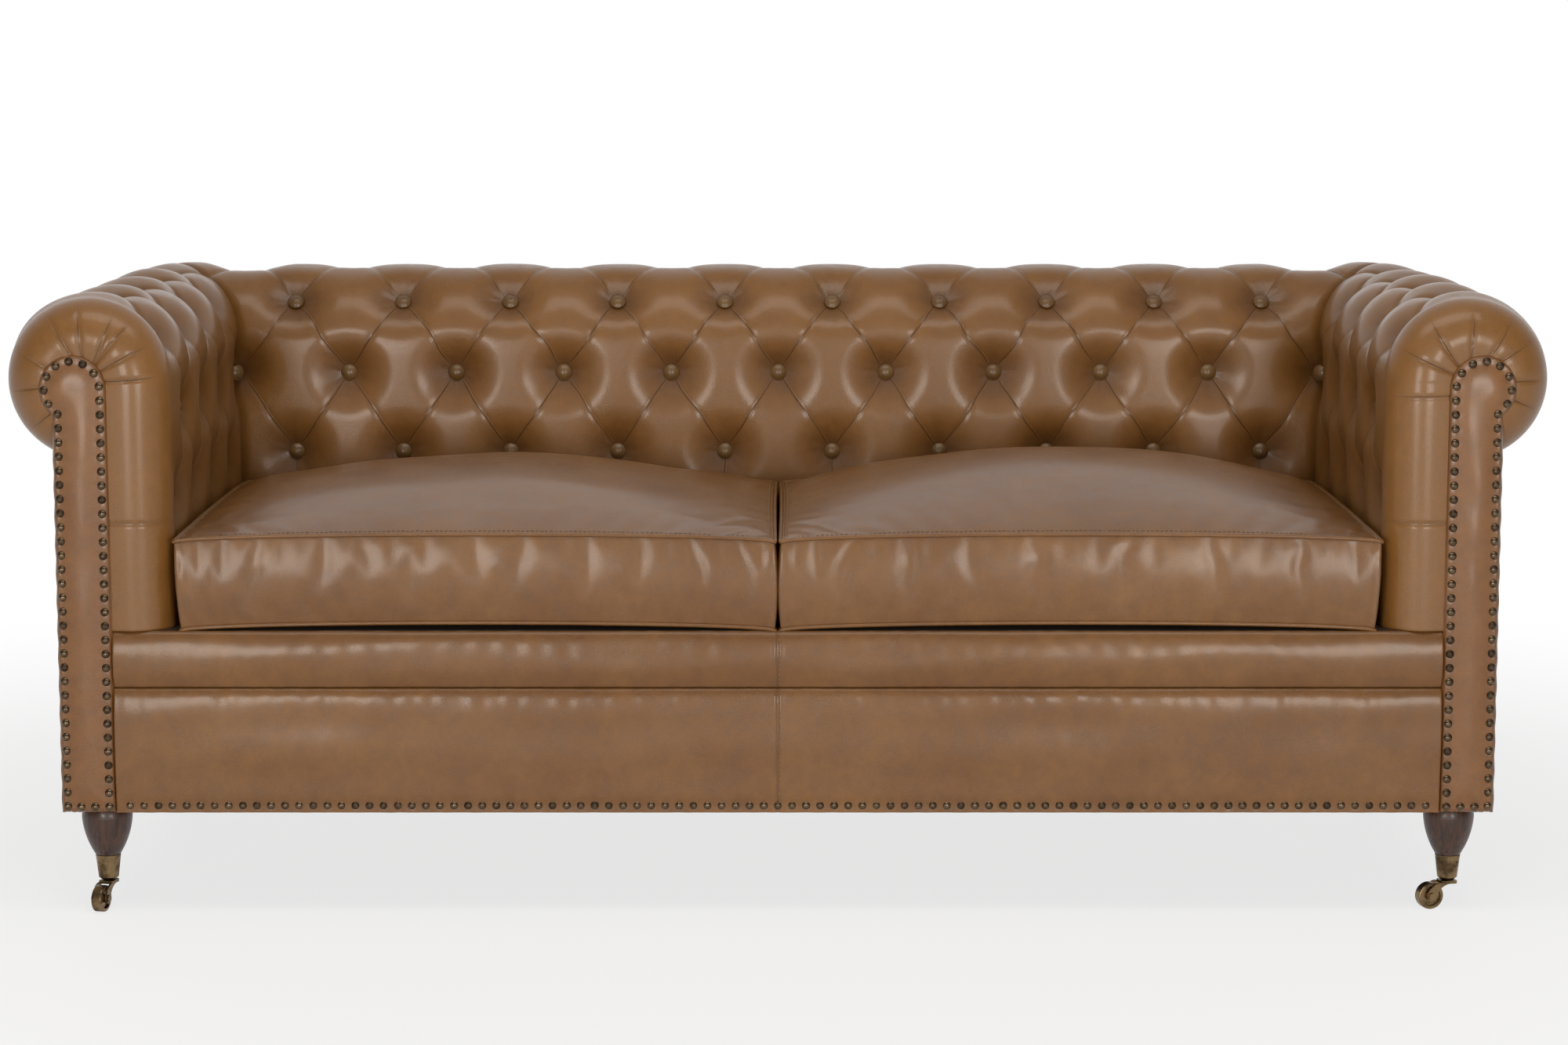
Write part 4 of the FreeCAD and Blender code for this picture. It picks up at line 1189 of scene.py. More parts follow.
@dataclass(frozen=True)
class StitchRow:
    """A row of short thread stitches that lie on leather."""

    name: str
    body: str
    pitch: float = 0.0062
    length: float = 0.0042
    radius: float = 0.00050
    sides: int = 6
    profile: tuple[tuple[float, float, float], ...] = (
        (-0.5, 0.30, -0.8), (-0.38, 1.0, 0.25), (0.0, 1.15, 0.55), (0.38, 1.0, 0.25), (0.5, 0.30, -0.8))

    def build(self, path: Array, out: Array, closed: bool = False) -> bpy.types.Object:
        """Builds the stitches.

        Args:
            path: Points along the row, on the leather.
            out: The leather's outward direction at each point.
            closed: Whether the row joins its own start.

        Returns:
            One piece with all of the row's stitches.
        """
        before, after, share = resample(path, self.pitch, closed)
        share = share[:, None]
        centre = path[before] * (1.0 - share) + path[after] * share
        lift = out[before] * (1.0 - share) + out[after] * share
        along = path[after] - path[before]
        along /= np.linalg.norm(along, axis=1, keepdims=True)
        lift -= along * np.sum(lift * along, axis=1, keepdims=True)
        lift /= np.linalg.norm(lift, axis=1, keepdims=True)
        aside = np.cross(along, lift)
        turns = np.linspace(0.0, 2.0 * math.pi, self.sides, endpoint=False)
        points = []
        for place, swell, rise in self.profile:
            middle = centre + along * place * self.length + lift * rise * self.radius
            for turn in turns:
                ring = aside * math.cos(turn) + lift * math.sin(turn)
                points.append(middle + ring * swell * self.radius)
        stacked = np.stack(points, axis=1).reshape(-1, 3)
        block = len(self.profile) * self.sides
        faces = []
        for stitch in range(len(centre)):
            for face in tube_faces(len(self.profile), self.sides, False):
                faces.append(tuple(index + stitch * block for index in face))
        return mesh_piece(self.name, stacked, faces, self.body)


@dataclass
class SeatCushion:
    """A loose seat cushion: leather case, piping along its edges and stitches beside it."""

    side: Side
    counts: tuple[int, int, int] = (96, 78, 18)
    foam_counts: tuple[int, int, int] = (48, 36, 10)
    foam_inset: float = 0.007
    sunk: float = 0.012
    crowding: float = 0.55
    case_wave: float = 0.0014
    case_waves: int = 9
    case_wavelength: float = 0.34
    wave_rim: float = 0.08
    pucker: float = 0.0014
    pucker_reach: float = 0.060
    pucker_wavelength: float = 0.045
    pucker_stretch: tuple[float, float] = (1.6, 0.6)
    pucker_rim: float = 0.012
    size: tuple[float, float] = (0.78, 0.62)
    seam_crease: float = 0.8
    seeds: tuple[int, int] = (71, 83)
    welt_sides: int = 8
    welt_radius: float = 0.0028
    ridge_radius: float = 0.0017
    welt_out: float = 0.0006
    thread_rise: float = 0.0004
    thread_lean: tuple[float, float] = (0.35, 0.94)
    pressure: float = 4.0
    loosen: float = -0.007
    frames: int = 20
    quality: int = 5
    mass: float = 0.5
    bending: float = 2.0
    most_move: float = 0.006
    share_moved: float = 0.65

    @property
    def body(self) -> str:
        """The body that the cushion moves with."""
        return f"cushion_{self.side.value}"

    def build(self) -> list[bpy.types.Object]:
        """Builds the cushion's pieces.

        Returns:
            The case, then the piping and the stitches along its edges.
        """
        shape = CushionShape(self.side, crown_less=self.side.pick(self.sunk, 0.0))
        lattice, quads = block_surface(self.counts)
        share = lattice / np.array(self.counts)
        crowded = 0.5 - 0.5 * np.cos(math.pi * share)
        mixed = (1.0 - self.crowding) * share + self.crowding * crowded
        points = shape.surface(mixed[:, 0], mixed[:, 1], mixed[:, 2])
        seed = self.side.pick(*self.seeds)
        to_end, to_side = (np.minimum(mixed[:, axis], 1.0 - mixed[:, axis]) for axis in (0, 1))
        edge = np.minimum(to_end, to_side)
        on_top = lattice[:, 2] == self.counts[2]
        wave = Undulation(seed, self.case_wavelength, self.case_waves).at(points[:, 0], points[:, 1])
        wave = self.case_wave * smooth_step(0.0, self.wave_rim, edge) * wave
        corner = fade(np.hypot(to_end * self.size[0], to_side * self.size[1]), self.pucker_reach)
        puckers = Undulation(seed + 1, self.pucker_wavelength, self.case_waves)
        folds = puckers.at(points[:, 0] * self.pucker_stretch[0], points[:, 1] * self.pucker_stretch[1])
        folds = self.pucker * corner * folds * smooth_step(0.0, self.pucker_rim, edge)
        points[:, 2] += np.where(on_top, wave + folds, 0.0)
        quads = outward(points, quads)
        seams = self.seams(lattice)
        points = self.fill(points, quads, seams | (lattice[:, 2] == 0))
        case = mesh_piece(f"seat_cushion_{self.side.value}", points, quads, self.body)
        # Painted shade: darker along the case's seams, under the piping.
        paint(case, crease=seams * self.seam_crease, pulled=0.0)
        smoothing = case.modifiers.new("fine", "SUBSURF")
        smoothing.levels = smoothing.render_levels = 1
        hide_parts(f"cushion_case_{self.side.value}")
        pieces = [case, self.foam(shape)]
        for label, level, inset, radius in (("top", self.counts[2], 0, self.welt_radius),
                                            ("ridge", self.counts[2], 1, self.ridge_radius),
                                            ("bottom", 0, 0, self.welt_radius)):
            ring = self.ring(lattice, level, inset)
            pieces.append(self.piping(label, points[ring], self.ring_out(points, ring), radius))
        beside = self.ring(lattice, self.counts[2], inset=2)
        rise = self.ring_out(points, beside) * self.thread_lean[0]
        rise = rise + np.array([0.0, 0.0, self.thread_lean[1]])
        row = StitchRow(f"cushion_thread_{self.side.value}", self.body)
        pieces.append(row.build(points[beside] + rise * self.thread_rise, rise, closed=True))
        return pieces

    def foam(self, shape: CushionShape) -> bpy.types.Object:
        """The foam block inside the case.

        Args:
            shape: The case's form.

        Returns:
            The foam, in place of the CAD node.
        """
        lattice, quads = block_surface(self.foam_counts)
        share = lattice / np.array(self.foam_counts)
        mixed = 0.5 - 0.5 * np.cos(math.pi * share)
        points = shape.surface(mixed[:, 0], mixed[:, 1], mixed[:, 2])
        low, high = points.min(axis=0), points.max(axis=0)
        middle = (low + high) / 2.0
        points = middle + (points - middle) * (1.0 - 2.0 * self.foam_inset / (high - low))
        piece = mesh_piece(f"cushion_foam_{self.side.value}", points, outward(points, quads), self.body)
        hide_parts(f"cushion_core_{self.side.value}")
        return piece

    def seams(self, lattice: Array) -> Array:
        """Which places of the lattice lie on the case's seams."""
        ends = sum(((lattice[:, axis] == 0) | (lattice[:, axis] == self.counts[axis])).astype(int)
                   for axis in range(3))
        return ends >= 2

    def ring(self, lattice: Array, level: int, inset: int = 0) -> Array:
        """The numbers of the points round the case at one level.

        Args:
            lattice: The case's lattice places.
            level: The level from the bottom.
            inset: How many places inside the edge.

        Returns:
            The numbers, in order round the case.
        """
        nu, nv, _ = self.counts
        find = {tuple(place): number for number, place in enumerate(lattice.tolist()) if place[2] == level}
        low, far_u, far_v = inset, nu - inset, nv - inset
        walk = [(i, low) for i in range(low, far_u)] + [(far_u, j) for j in range(low, far_v)]
        walk += [(i, far_v) for i in range(far_u, low, -1)] + [(low, j) for j in range(far_v, low, -1)]
        return np.array([find[(i, j, level)] for i, j in walk])

    def ring_out(self, points: Array, ring: Array) -> Array:
        """Level directions away from the case at a ring of its points."""
        path = points[ring]
        along = np.roll(path, -1, axis=0) - np.roll(path, 1, axis=0)
        out = np.stack([along[:, 1], -along[:, 0], np.zeros(len(path))], axis=-1)
        out /= np.linalg.norm(out, axis=1, keepdims=True)
        middle = path.mean(axis=0)
        turned = np.sum((path - middle) * out)
        return out if turned > 0 else -out

    def piping(self, label: str, path: Array, out: Array, radius: float) -> bpy.types.Object:
        """The covered piping along a seam.

        Args:
            label: The seam's name.
            path: The seam's points.
            out: Outward directions at these points.
            radius: The piping's radius.

        Returns:
            The piping.
        """
        _, away, up = frames_along(path, out, closed=True)
        turns = np.linspace(0.0, 2.0 * math.pi, self.welt_sides, endpoint=False)
        rings = [path + away * (self.welt_out + radius * math.cos(turn)) + up * radius * math.sin(turn)
                 for turn in turns]
        points = np.stack(rings, axis=1).reshape(-1, 3)
        piece = mesh_piece(f"cushion_piping_{label}_{self.side.value}", points,
                           outward(points, np.array(tube_faces(len(path), self.welt_sides, True))), self.body)
        paint(piece, crease=0.0, pulled=0.0)
        return piece

    def fill(self, points: Array, quads: Array, pinned: Array) -> Array:
        """Blows the case up a little between its pinned seams, with a cloth simulation.

        Args:
            points: The case's points.
            quads: Its faces.
            pinned: Which points stay where they are.

        Returns:
            The points after the simulation, none moved by more than the cap.
        """
        mesh = bpy.data.meshes.new("loose_case")
        mesh.from_pydata(points.tolist(), [], quads.tolist())
        loose = bpy.data.objects.new("loose_case", mesh)
        bpy.context.scene.collection.objects.link(loose)
        group = loose.vertex_groups.new(name="seams")
        group.add(np.nonzero(pinned)[0].tolist(), 1.0, "REPLACE")
        cloth = loose.modifiers.new("cloth", "CLOTH")
        setup = cloth.settings
        setup.quality = self.quality
        setup.mass = self.mass
        setup.use_pressure = True
        setup.uniform_pressure_force = self.pressure
        setup.shrink_min = self.loosen
        setup.vertex_group_mass = "seams"
        setup.effector_weights.gravity = 0.0
        setup.bending_stiffness = self.bending
        cloth.collision_settings.use_collision = False
        scene = bpy.context.scene
        for number in range(1, self.frames + 1):
            scene.frame_set(number)
        evaluated = loose.evaluated_get(bpy.context.evaluated_depsgraph_get())
        moved = np.empty(len(points) * 3)
        evaluated.data.vertices.foreach_get("co", moved)
        step = moved.reshape(-1, 3) - points
        size = np.linalg.norm(step, axis=1, keepdims=True)
        step *= self.share_moved * np.minimum(1.0, self.most_move / np.maximum(size, 1e-9))
        scene.frame_set(1)
        bpy.data.objects.remove(loose)
        log.info("case filled, points moved by up to %.1f mm", 1000.0 * float(size.max()))
        return points + step


class Sockets:
    """Short ways to add and join shader nodes in one tree."""

    def __init__(self, tree: bpy.types.NodeTree) -> None:
        """Works on one tree."""
        self.tree = tree

    def add(self, kind: str, **settings: object) -> bpy.types.Node:
        """Adds a node.

        Args:
            kind: The node's type name.
            settings: Its own properties.

        Returns:
            The node.
        """
        node = self.tree.nodes.new(kind)
        for name, value in settings.items():
            setattr(node, name, value)
        return node

    def link(self, source: bpy.types.NodeSocket, target: bpy.types.NodeSocket) -> None:
        """Joins an output to an input."""
        self.tree.links.new(source, target)

    def feed(self, socket: bpy.types.NodeSocket, value: object) -> None:
        """Gives an input a plain value, or joins it to an output."""
        if isinstance(value, bpy.types.NodeSocket):
            self.link(value, socket)
        else:
            socket.default_value = value

    def math(self, operation: str, *values: object, clamp: bool = False) -> bpy.types.NodeSocket:
        """A sum on numbers.

        Args:
            operation: The Math node's operation.
            values: Its inputs, as numbers or outputs.
            clamp: Whether the result stays between 0 and 1.

        Returns:
            The result's output.
        """
        node = self.add("ShaderNodeMath", operation=operation, use_clamp=clamp)
        for socket, value in zip(node.inputs, values):
            self.feed(socket, value)
        return node.outputs[0]

    def ramp(self, value: object, low: float, high: float, start: float = 0.0,
             end: float = 1.0) -> bpy.types.NodeSocket:
        """Maps a number softly from one range to another.

        Args:
            value: The number's output.
            low: Where the ramp starts.
            high: Where it ends.
            start: What it gives at the start.
            end: What it gives at the end.

        Returns:
            The mapped number.
        """
        node = self.add("ShaderNodeMapRange", interpolation_type="SMOOTHSTEP")
        for name, setting in (("Value", value), ("From Min", low), ("From Max", high), ("To Min", start),
                              ("To Max", end)):
            self.feed(node.inputs[name], setting)
        return node.outputs["Result"]

    def mix(self, share: object, first: object, second: object, blend: str = "MIX") -> bpy.types.NodeSocket:
        """Mixes two colours.

        Args:
            share: How much of the second one.
            first: The first colour.
            second: The second colour.
            blend: The way they mix.

        Returns:
            The mixed colour.
        """
        node = self.add("ShaderNodeMix", data_type="RGBA", blend_type=blend, clamp_result=False)
        self.feed(node.inputs[0], share)
        self.feed(node.inputs[6], first)
        self.feed(node.inputs[7], second)
        return node.outputs[2]

    def noise(self, place: bpy.types.NodeSocket, scale: float, detail: float = 2.0,
              roughness: float = 0.5, distortion: float = 0.0) -> bpy.types.NodeSocket:
        """A noise number at a place."""
        node = self.add("ShaderNodeTexNoise")
        self.link(place, node.inputs["Vector"])
        node.inputs["Scale"].default_value = scale
        node.inputs["Detail"].default_value = detail
        node.inputs["Roughness"].default_value = roughness
        node.inputs["Distortion"].default_value = distortion
        return node.outputs["Fac"]

    def attribute(self, name: str) -> bpy.types.NodeSocket:
        """A number stored on the mesh."""
        return self.add("ShaderNodeAttribute", attribute_name=name).outputs["Fac"]

    def paper_rays(self, gloss: object = 1.0) -> bpy.types.NodeSocket:
        """Which rays see the studio as white paper: the camera's, and those of glass and gloss.

        Args:
            gloss: How much of it the rays of gloss see.

        Returns:
            1 for such rays and 0 for all others.
        """
        rays = self.add("ShaderNodeLightPath").outputs
        clear = self.math("MAXIMUM", rays["Is Camera Ray"], rays["Is Transmission Ray"])
        return self.math("MAXIMUM", clear, self.math("MULTIPLY", gloss, rays["Is Glossy Ray"]))

    def lerp(self, share: object, low: float) -> bpy.types.NodeSocket:
        """A number that goes from low to 1 with the share."""
        return self.math("ADD", self.math("MULTIPLY", share, 1.0 - low), low)

    def bump(self, shader: bpy.types.Node | None, height: bpy.types.NodeSocket, strength: float,
             distance: float, under: bpy.types.NodeSocket | None = None) -> bpy.types.NodeSocket:
        """Gives a surface a fine relief.

        Args:
            shader: The shader that takes the normal, if one does.
            height: The relief's height.
            strength: How strong it shows.
            distance: Its full height, in metres.
            under: The normal of a coarser relief under it.

        Returns:
            The relief's normal.
        """
        node = self.add("ShaderNodeBump")
        node.inputs["Strength"].default_value = strength
        node.inputs["Distance"].default_value = distance
        self.link(height, node.inputs["Height"])
        if under is not None:
            self.link(under, node.inputs["Normal"])
        if shader is not None:
            self.link(node.outputs["Normal"], shader.inputs["Normal"])
        return node.outputs["Normal"]

    def place(self) -> bpy.types.NodeSocket:
        """The place in the piece's own frame, in metres."""
        return self.add("ShaderNodeTexCoord").outputs["Object"]


def shader_group(name: str, inputs: dict[str, str], outputs: dict[str, str]) -> tuple[Sockets, bpy.types.Node,
                                                                                    bpy.types.Node]:
    """Starts a shared shader group.

    Args:
        name: The group's name.
        inputs: Its inputs, each with a kind such as Float.
        outputs: Its outputs, each with a kind.

    Returns:
        The tools for its tree, its input node and its output node.
    """
    tree = bpy.data.node_groups.new(name, "ShaderNodeTree")
    for label, kind in inputs.items():
        tree.interface.new_socket(name=label, in_out="INPUT", socket_type=f"NodeSocket{kind}")
    for label, kind in outputs.items():
        tree.interface.new_socket(name=label, in_out="OUTPUT", socket_type=f"NodeSocket{kind}")
    tools = Sockets(tree)
    return tools, tools.add("NodeGroupInput"), tools.add("NodeGroupOutput")


def leather_grain_group() -> bpy.types.NodeTree:
    """The height of leather's grain: small pebbles, finer pores and a few creases.

    Returns:
        A group from a place to a height between 0 and 1, and to a pore mask.
    """
    tools, given, result = shader_group("leather_grain", {"Place": "Vector"},
                                        {"Height": "Float", "Pores": "Float"})
    place = given.outputs["Place"]
    bend = tools.add("ShaderNodeTexNoise")
    tools.link(place, bend.inputs["Vector"])
    bend.inputs["Scale"].default_value = 60.0
    scatter = tools.add("ShaderNodeVectorMath", operation="MULTIPLY_ADD")
    tools.link(bend.outputs["Color"], scatter.inputs[0])
    scatter.inputs[1].default_value = (0.0022, 0.0022, 0.0022)
    tools.link(place, scatter.inputs[2])
    heights = []
    for scale, gain in ((430.0, 0.62), (980.0, 0.38)):
        cells = tools.add("ShaderNodeTexVoronoi", feature="DISTANCE_TO_EDGE")
        tools.link(scatter.outputs[0], cells.inputs["Vector"])
        cells.inputs["Scale"].default_value = scale
        heights.append(tools.math("MULTIPLY", tools.ramp(cells.outputs["Distance"], 0.0, 0.28), gain))
    pebbles = tools.math("ADD", heights[0], heights[1])
    swell = tools.noise(place, 130.0, 3.0, 0.6)
    height = tools.math("ADD", tools.math("MULTIPLY", pebbles, 0.75), tools.math("MULTIPLY", swell, 0.25))
    tools.link(height, result.inputs["Height"])
    tools.link(tools.ramp(pebbles, 0.35, 0.0), result.inputs["Pores"])
    return tools.tree


def pleat_lines_group() -> bpy.types.NodeTree:
    """The thin folds of tufted leather, from the lattice that a cover keeps as its UV.

    Returns:
        A group from the lattice to a height, a mask in the fold and a mask of its raised lip, which the
        leather paints lighter as a highlight with some wear.
    """
    tools, given, result = shader_group(
        "pleat_lines", {"Lattice": "Vector", "Place": "Vector", "Tufted": "Float", "Unit": "Float"},
        {"Height": "Float", "Fold": "Float", "Edge": "Float"})
    split = tools.add("ShaderNodeSeparateXYZ")
    tools.link(given.outputs["Lattice"], split.inputs[0])
    waver = tools.noise(given.outputs["Place"], 26.0, 2.0, 0.5)
    shift = tools.math("MULTIPLY", tools.math("SUBTRACT", waver, 0.5), 0.009)
    gaps = []
    for axis in ("X", "Y"):
        value = tools.math("ADD", split.outputs[axis], shift)
        gap = tools.math("SUBTRACT", value, tools.math("ROUND", value))
        gaps.append(tools.math("MULTIPLY", gap, given.outputs["Unit"]))
    folds, edges = [], []
    for gap in gaps:
        off = tools.math("ABSOLUTE", gap)
        folds.append(tools.ramp(off, 0.0011, 0.0003))
        beside = tools.math("ABSOLUTE", tools.math("SUBTRACT", gap, 0.0015))
        edges.append(tools.ramp(beside, 0.0011, 0.0))
    strength = tools.ramp(tools.noise(given.outputs["Place"], 9.0, 1.0), 0.25, 0.62, 0.35, 1.0)
    fold = tools.math("MULTIPLY", tools.math("MAXIMUM", folds[0], folds[1]), strength)
    edge = tools.math("MULTIPLY", tools.math("MAXIMUM", edges[0], edges[1]), strength)
    fold = tools.math("MULTIPLY", fold, given.outputs["Tufted"])
    edge = tools.math("MULTIPLY", edge, given.outputs["Tufted"])
    tools.link(tools.math("SUBTRACT", tools.math("MULTIPLY", edge, 0.35), fold), result.inputs["Height"])
    tools.link(fold, result.inputs["Fold"])
    tools.link(edge, result.inputs["Edge"])
    return tools.tree


def patina_group() -> bpy.types.NodeTree:
    """Broad and fine changes of shade, as waxed and pulled leather has.

    Returns:
        A group from a place to a broad number and a fine one, both between 0 and 1.
    """
    tools, given, result = shader_group("patina", {"Place": "Vector"}, {"Broad": "Float", "Fine": "Float"})
    place = given.outputs["Place"]
    broad = tools.ramp(tools.noise(place, 6.5, 4.0, 0.55, 0.4), 0.32, 0.70)
    fine = tools.ramp(tools.noise(place, 46.0, 4.0, 0.62, 0.2), 0.30, 0.72)
    tools.link(broad, result.inputs["Broad"])
    tools.link(fine, result.inputs["Fine"])
    return tools.tree


def new_material(name: str) -> tuple[bpy.types.Material, Sockets, bpy.types.Node]:
    """Starts a material.

    Args:
        name: Its name.

    Returns:
        The material, the tools for its tree and its Principled BSDF.
    """
    material = bpy.data.materials.new(name)
    material.use_nodes = True
    tools = Sockets(material.node_tree)
    return material, tools, material.node_tree.nodes["Principled BSDF"]


@dataclass(frozen=True)
class Leather:
    """A waxed leather: its shades, with painted shade in its hollows, creases and folds and painted sheen
    between the hollows, and its gloss and grain.
    """

    name: str
    slot: str
    base: tuple[int, int, int] = (118, 76, 30)
    deep: tuple[int, int, int] = (80, 49, 18)
    worn_and_sheen: tuple[int, int, int] = (144, 100, 50)
    between_hollows_sheen: float = 0.40
    broad_wear: float = 0.45
    fine_shade: float = 0.30
    hollow_painted_shade: float = 0.80
    crease_painted_shade: float = 0.55
    pleated_crease_painted_shade: float = 0.25
    fold_painted_shade: float = 0.75
    fold_lip_wear_and_sheen: float = 0.55
    pore_shade: float = 0.22
    fold_strength: float = 0.9
    fold_height: float = 0.0010
    specular: float = 0.35
    roughness: float = 0.32
    roughness_spread: float = 0.12
    coat: float = 0.38
    coat_roughness: float = 0.22
    grain: float = 0.35
    grain_size: float = 0.0006
    pleats: bool = False

    def build(self) -> bpy.types.Material:
        """Builds the material.

        Returns:
            The material.
        """
        material, tools, shader = new_material(self.name)
        place = tools.place()
        patina = tools.add("ShaderNodeGroup", node_tree=bpy.data.node_groups["patina"])
        grain = tools.add("ShaderNodeGroup", node_tree=bpy.data.node_groups["leather_grain"])
        tools.link(place, patina.inputs["Place"])
        tools.link(place, grain.inputs["Place"])
        crease = tools.attribute("crease")
        pulled = tools.attribute("pulled")
        # The lighter colour serves both random wear and, below, painted sheen and highlights; the deep colour
        # serves both random tone and painted shade.
        base, deep, worn_and_sheen = linear(*self.base), linear(*self.deep), linear(*self.worn_and_sheen)
        shade = tools.mix(tools.math("MULTIPLY", patina.outputs["Broad"], self.broad_wear), base, worn_and_sheen)
        dark = tools.math("MULTIPLY", tools.math("SUBTRACT", 1.0, patina.outputs["Fine"]), self.fine_shade)
        shade = tools.mix(dark, shade, deep)
        if self.pleats:
            # Painted sheen: lighter where the cover lies flat between the button hollows.
            shade = tools.mix(tools.ramp(pulled, 0.45, 0.0, 0.0, self.between_hollows_sheen), shade, worn_and_sheen)
        # Painted shade: darker in the button hollows.
        hollow = tools.math("MULTIPLY", tools.ramp(pulled, 0.25, 0.95), self.hollow_painted_shade)
        shade = tools.mix(hollow, shade, deep)
        # Painted shade: darker where each piece's crease layer marks folds, seams and tucked edges.
        creased = self.pleated_crease_painted_shade if self.pleats else self.crease_painted_shade
        shade = tools.mix(tools.math("MULTIPLY", crease, creased), shade, deep)
        folded = None
        if self.pleats:
            pleat = tools.add("ShaderNodeGroup", node_tree=bpy.data.node_groups["pleat_lines"])
            tools.link(tools.add("ShaderNodeUVMap", uv_map="UVMap").outputs["UV"], pleat.inputs["Lattice"])
            tools.link(place, pleat.inputs["Place"])
            tools.link(tools.attribute("unit"), pleat.inputs["Unit"])
            clear = tools.ramp(pulled, 0.86, 0.62)
            tools.link(tools.math("MULTIPLY", tools.attribute("tufted"), clear), pleat.inputs["Tufted"])
            # Painted highlight, with some wear: lighter on the raised lip beside each fold.
            shade = tools.mix(tools.math("MULTIPLY", pleat.outputs["Edge"], self.fold_lip_wear_and_sheen), shade, worn_and_sheen)
            # Painted shade: darker in each fold.
            shade = tools.mix(tools.math("MULTIPLY", pleat.outputs["Fold"], self.fold_painted_shade), shade, deep)
            folded = tools.bump(None, pleat.outputs["Height"], self.fold_strength, self.fold_height)
        shade = tools.mix(tools.math("MULTIPLY", grain.outputs["Pores"], self.pore_shade), shade, deep)
        tools.link(shade, shader.inputs["Base Color"])
        rough = tools.math("MULTIPLY", patina.outputs["Fine"], self.roughness_spread)
        rough = tools.math("ADD", self.roughness, rough)
        tools.link(rough, shader.inputs["Roughness"])
        shader.inputs["Coat Weight"].default_value = self.coat
        shader.inputs["Coat Roughness"].default_value = self.coat_roughness
        shader.inputs["Specular IOR Level"].default_value = self.specular
        tools.bump(shader, grain.outputs["Height"], self.grain, self.grain_size, folded)
        return material


@dataclass(frozen=True)
class TurnedWood:
    """Stained and polished hardwood with its grain along Z."""

    name: str = "polished_walnut"
    slot: str = "dark_walnut"
    base: tuple[int, int, int] = (78, 45, 26)
    dark: tuple[int, int, int] = (34, 18, 10)
    roughness: float = 0.34
    roughness_spread: float = 0.14
    coat: float = 0.12
    coat_roughness: float = 0.12

    def build(self) -> bpy.types.Material:
        """Builds the material."""
        material, tools, shader = new_material(self.name)
        stretch = tools.add("ShaderNodeMapping")
        tools.link(tools.place(), stretch.inputs["Vector"])
        stretch.inputs["Scale"].default_value = (1.0, 1.0, 0.09)
        grain = tools.noise(stretch.outputs[0], 210.0, 5.0, 0.6, 0.8)
        pores = tools.noise(stretch.outputs[0], 900.0, 2.0, 0.5)
        shade = tools.mix(tools.ramp(grain, 0.30, 0.70), linear(*self.base), linear(*self.dark))
        shade = tools.mix(tools.ramp(pores, 0.62, 0.75, 0.0, 0.6), shade, linear(*self.dark))
        tools.link(shade, shader.inputs["Base Color"])
        rough = tools.ramp(grain, 0.2, 0.8, self.roughness, self.roughness + self.roughness_spread)
        tools.link(rough, shader.inputs["Roughness"])
        shader.inputs["Coat Weight"].default_value = self.coat
        shader.inputs["Coat Roughness"].default_value = self.coat_roughness
        tools.bump(shader, pores, 0.25, 0.0004)
        return material


@dataclass(frozen=True)
class SawnWood:
    """Plain sawn hardwood inside the sofa."""

    name: str = "sawn_beech"
    slot: str = "hardwood"
    base: tuple[int, int, int] = (188, 150, 106)
    dark: tuple[int, int, int] = (150, 110, 70)

    def build(self) -> bpy.types.Material:
        """Builds the material."""
        material, tools, shader = new_material(self.name)
        grain = tools.noise(tools.place(), 38.0, 6.0, 0.6, 2.4)
        shade = tools.mix(tools.ramp(grain, 0.35, 0.65), linear(*self.base), linear(*self.dark))
        tools.link(shade, shader.inputs["Base Color"])
        tools.link(tools.ramp(grain, 0.2, 0.8, 0.62, 0.78), shader.inputs["Roughness"])
        tools.bump(shader, grain, 0.3, 0.0005)
        return material


@dataclass(frozen=True)
class Metal:
    """A metal with tarnish and fine wear."""

    name: str
    slot: str
    bright: tuple[int, int, int]
    dull: tuple[int, int, int]
    roughness: float = 0.30
    tarnish_scale: float = 55.0
    scratch: float = 0.15

    def build(self) -> bpy.types.Material:
        """Builds the material."""
        material, tools, shader = new_material(self.name)
        place = tools.place()
        tarnish = tools.ramp(tools.noise(place, self.tarnish_scale, 5.0, 0.62), 0.38, 0.66)
        fine = tools.noise(place, 620.0, 3.0, 0.6)
        shade = tools.mix(tarnish, linear(*self.bright), linear(*self.dull))
        tools.link(shade, shader.inputs["Base Color"])
        shader.inputs["Metallic"].default_value = 1.0
        rough = tools.math("ADD", tools.ramp(tarnish, 0.0, 1.0, self.roughness, self.roughness + 0.22),
                           tools.math("MULTIPLY", fine, 0.08))
        tools.link(rough, shader.inputs["Roughness"])
        tools.bump(shader, fine, self.scratch, 0.0002)
        return material


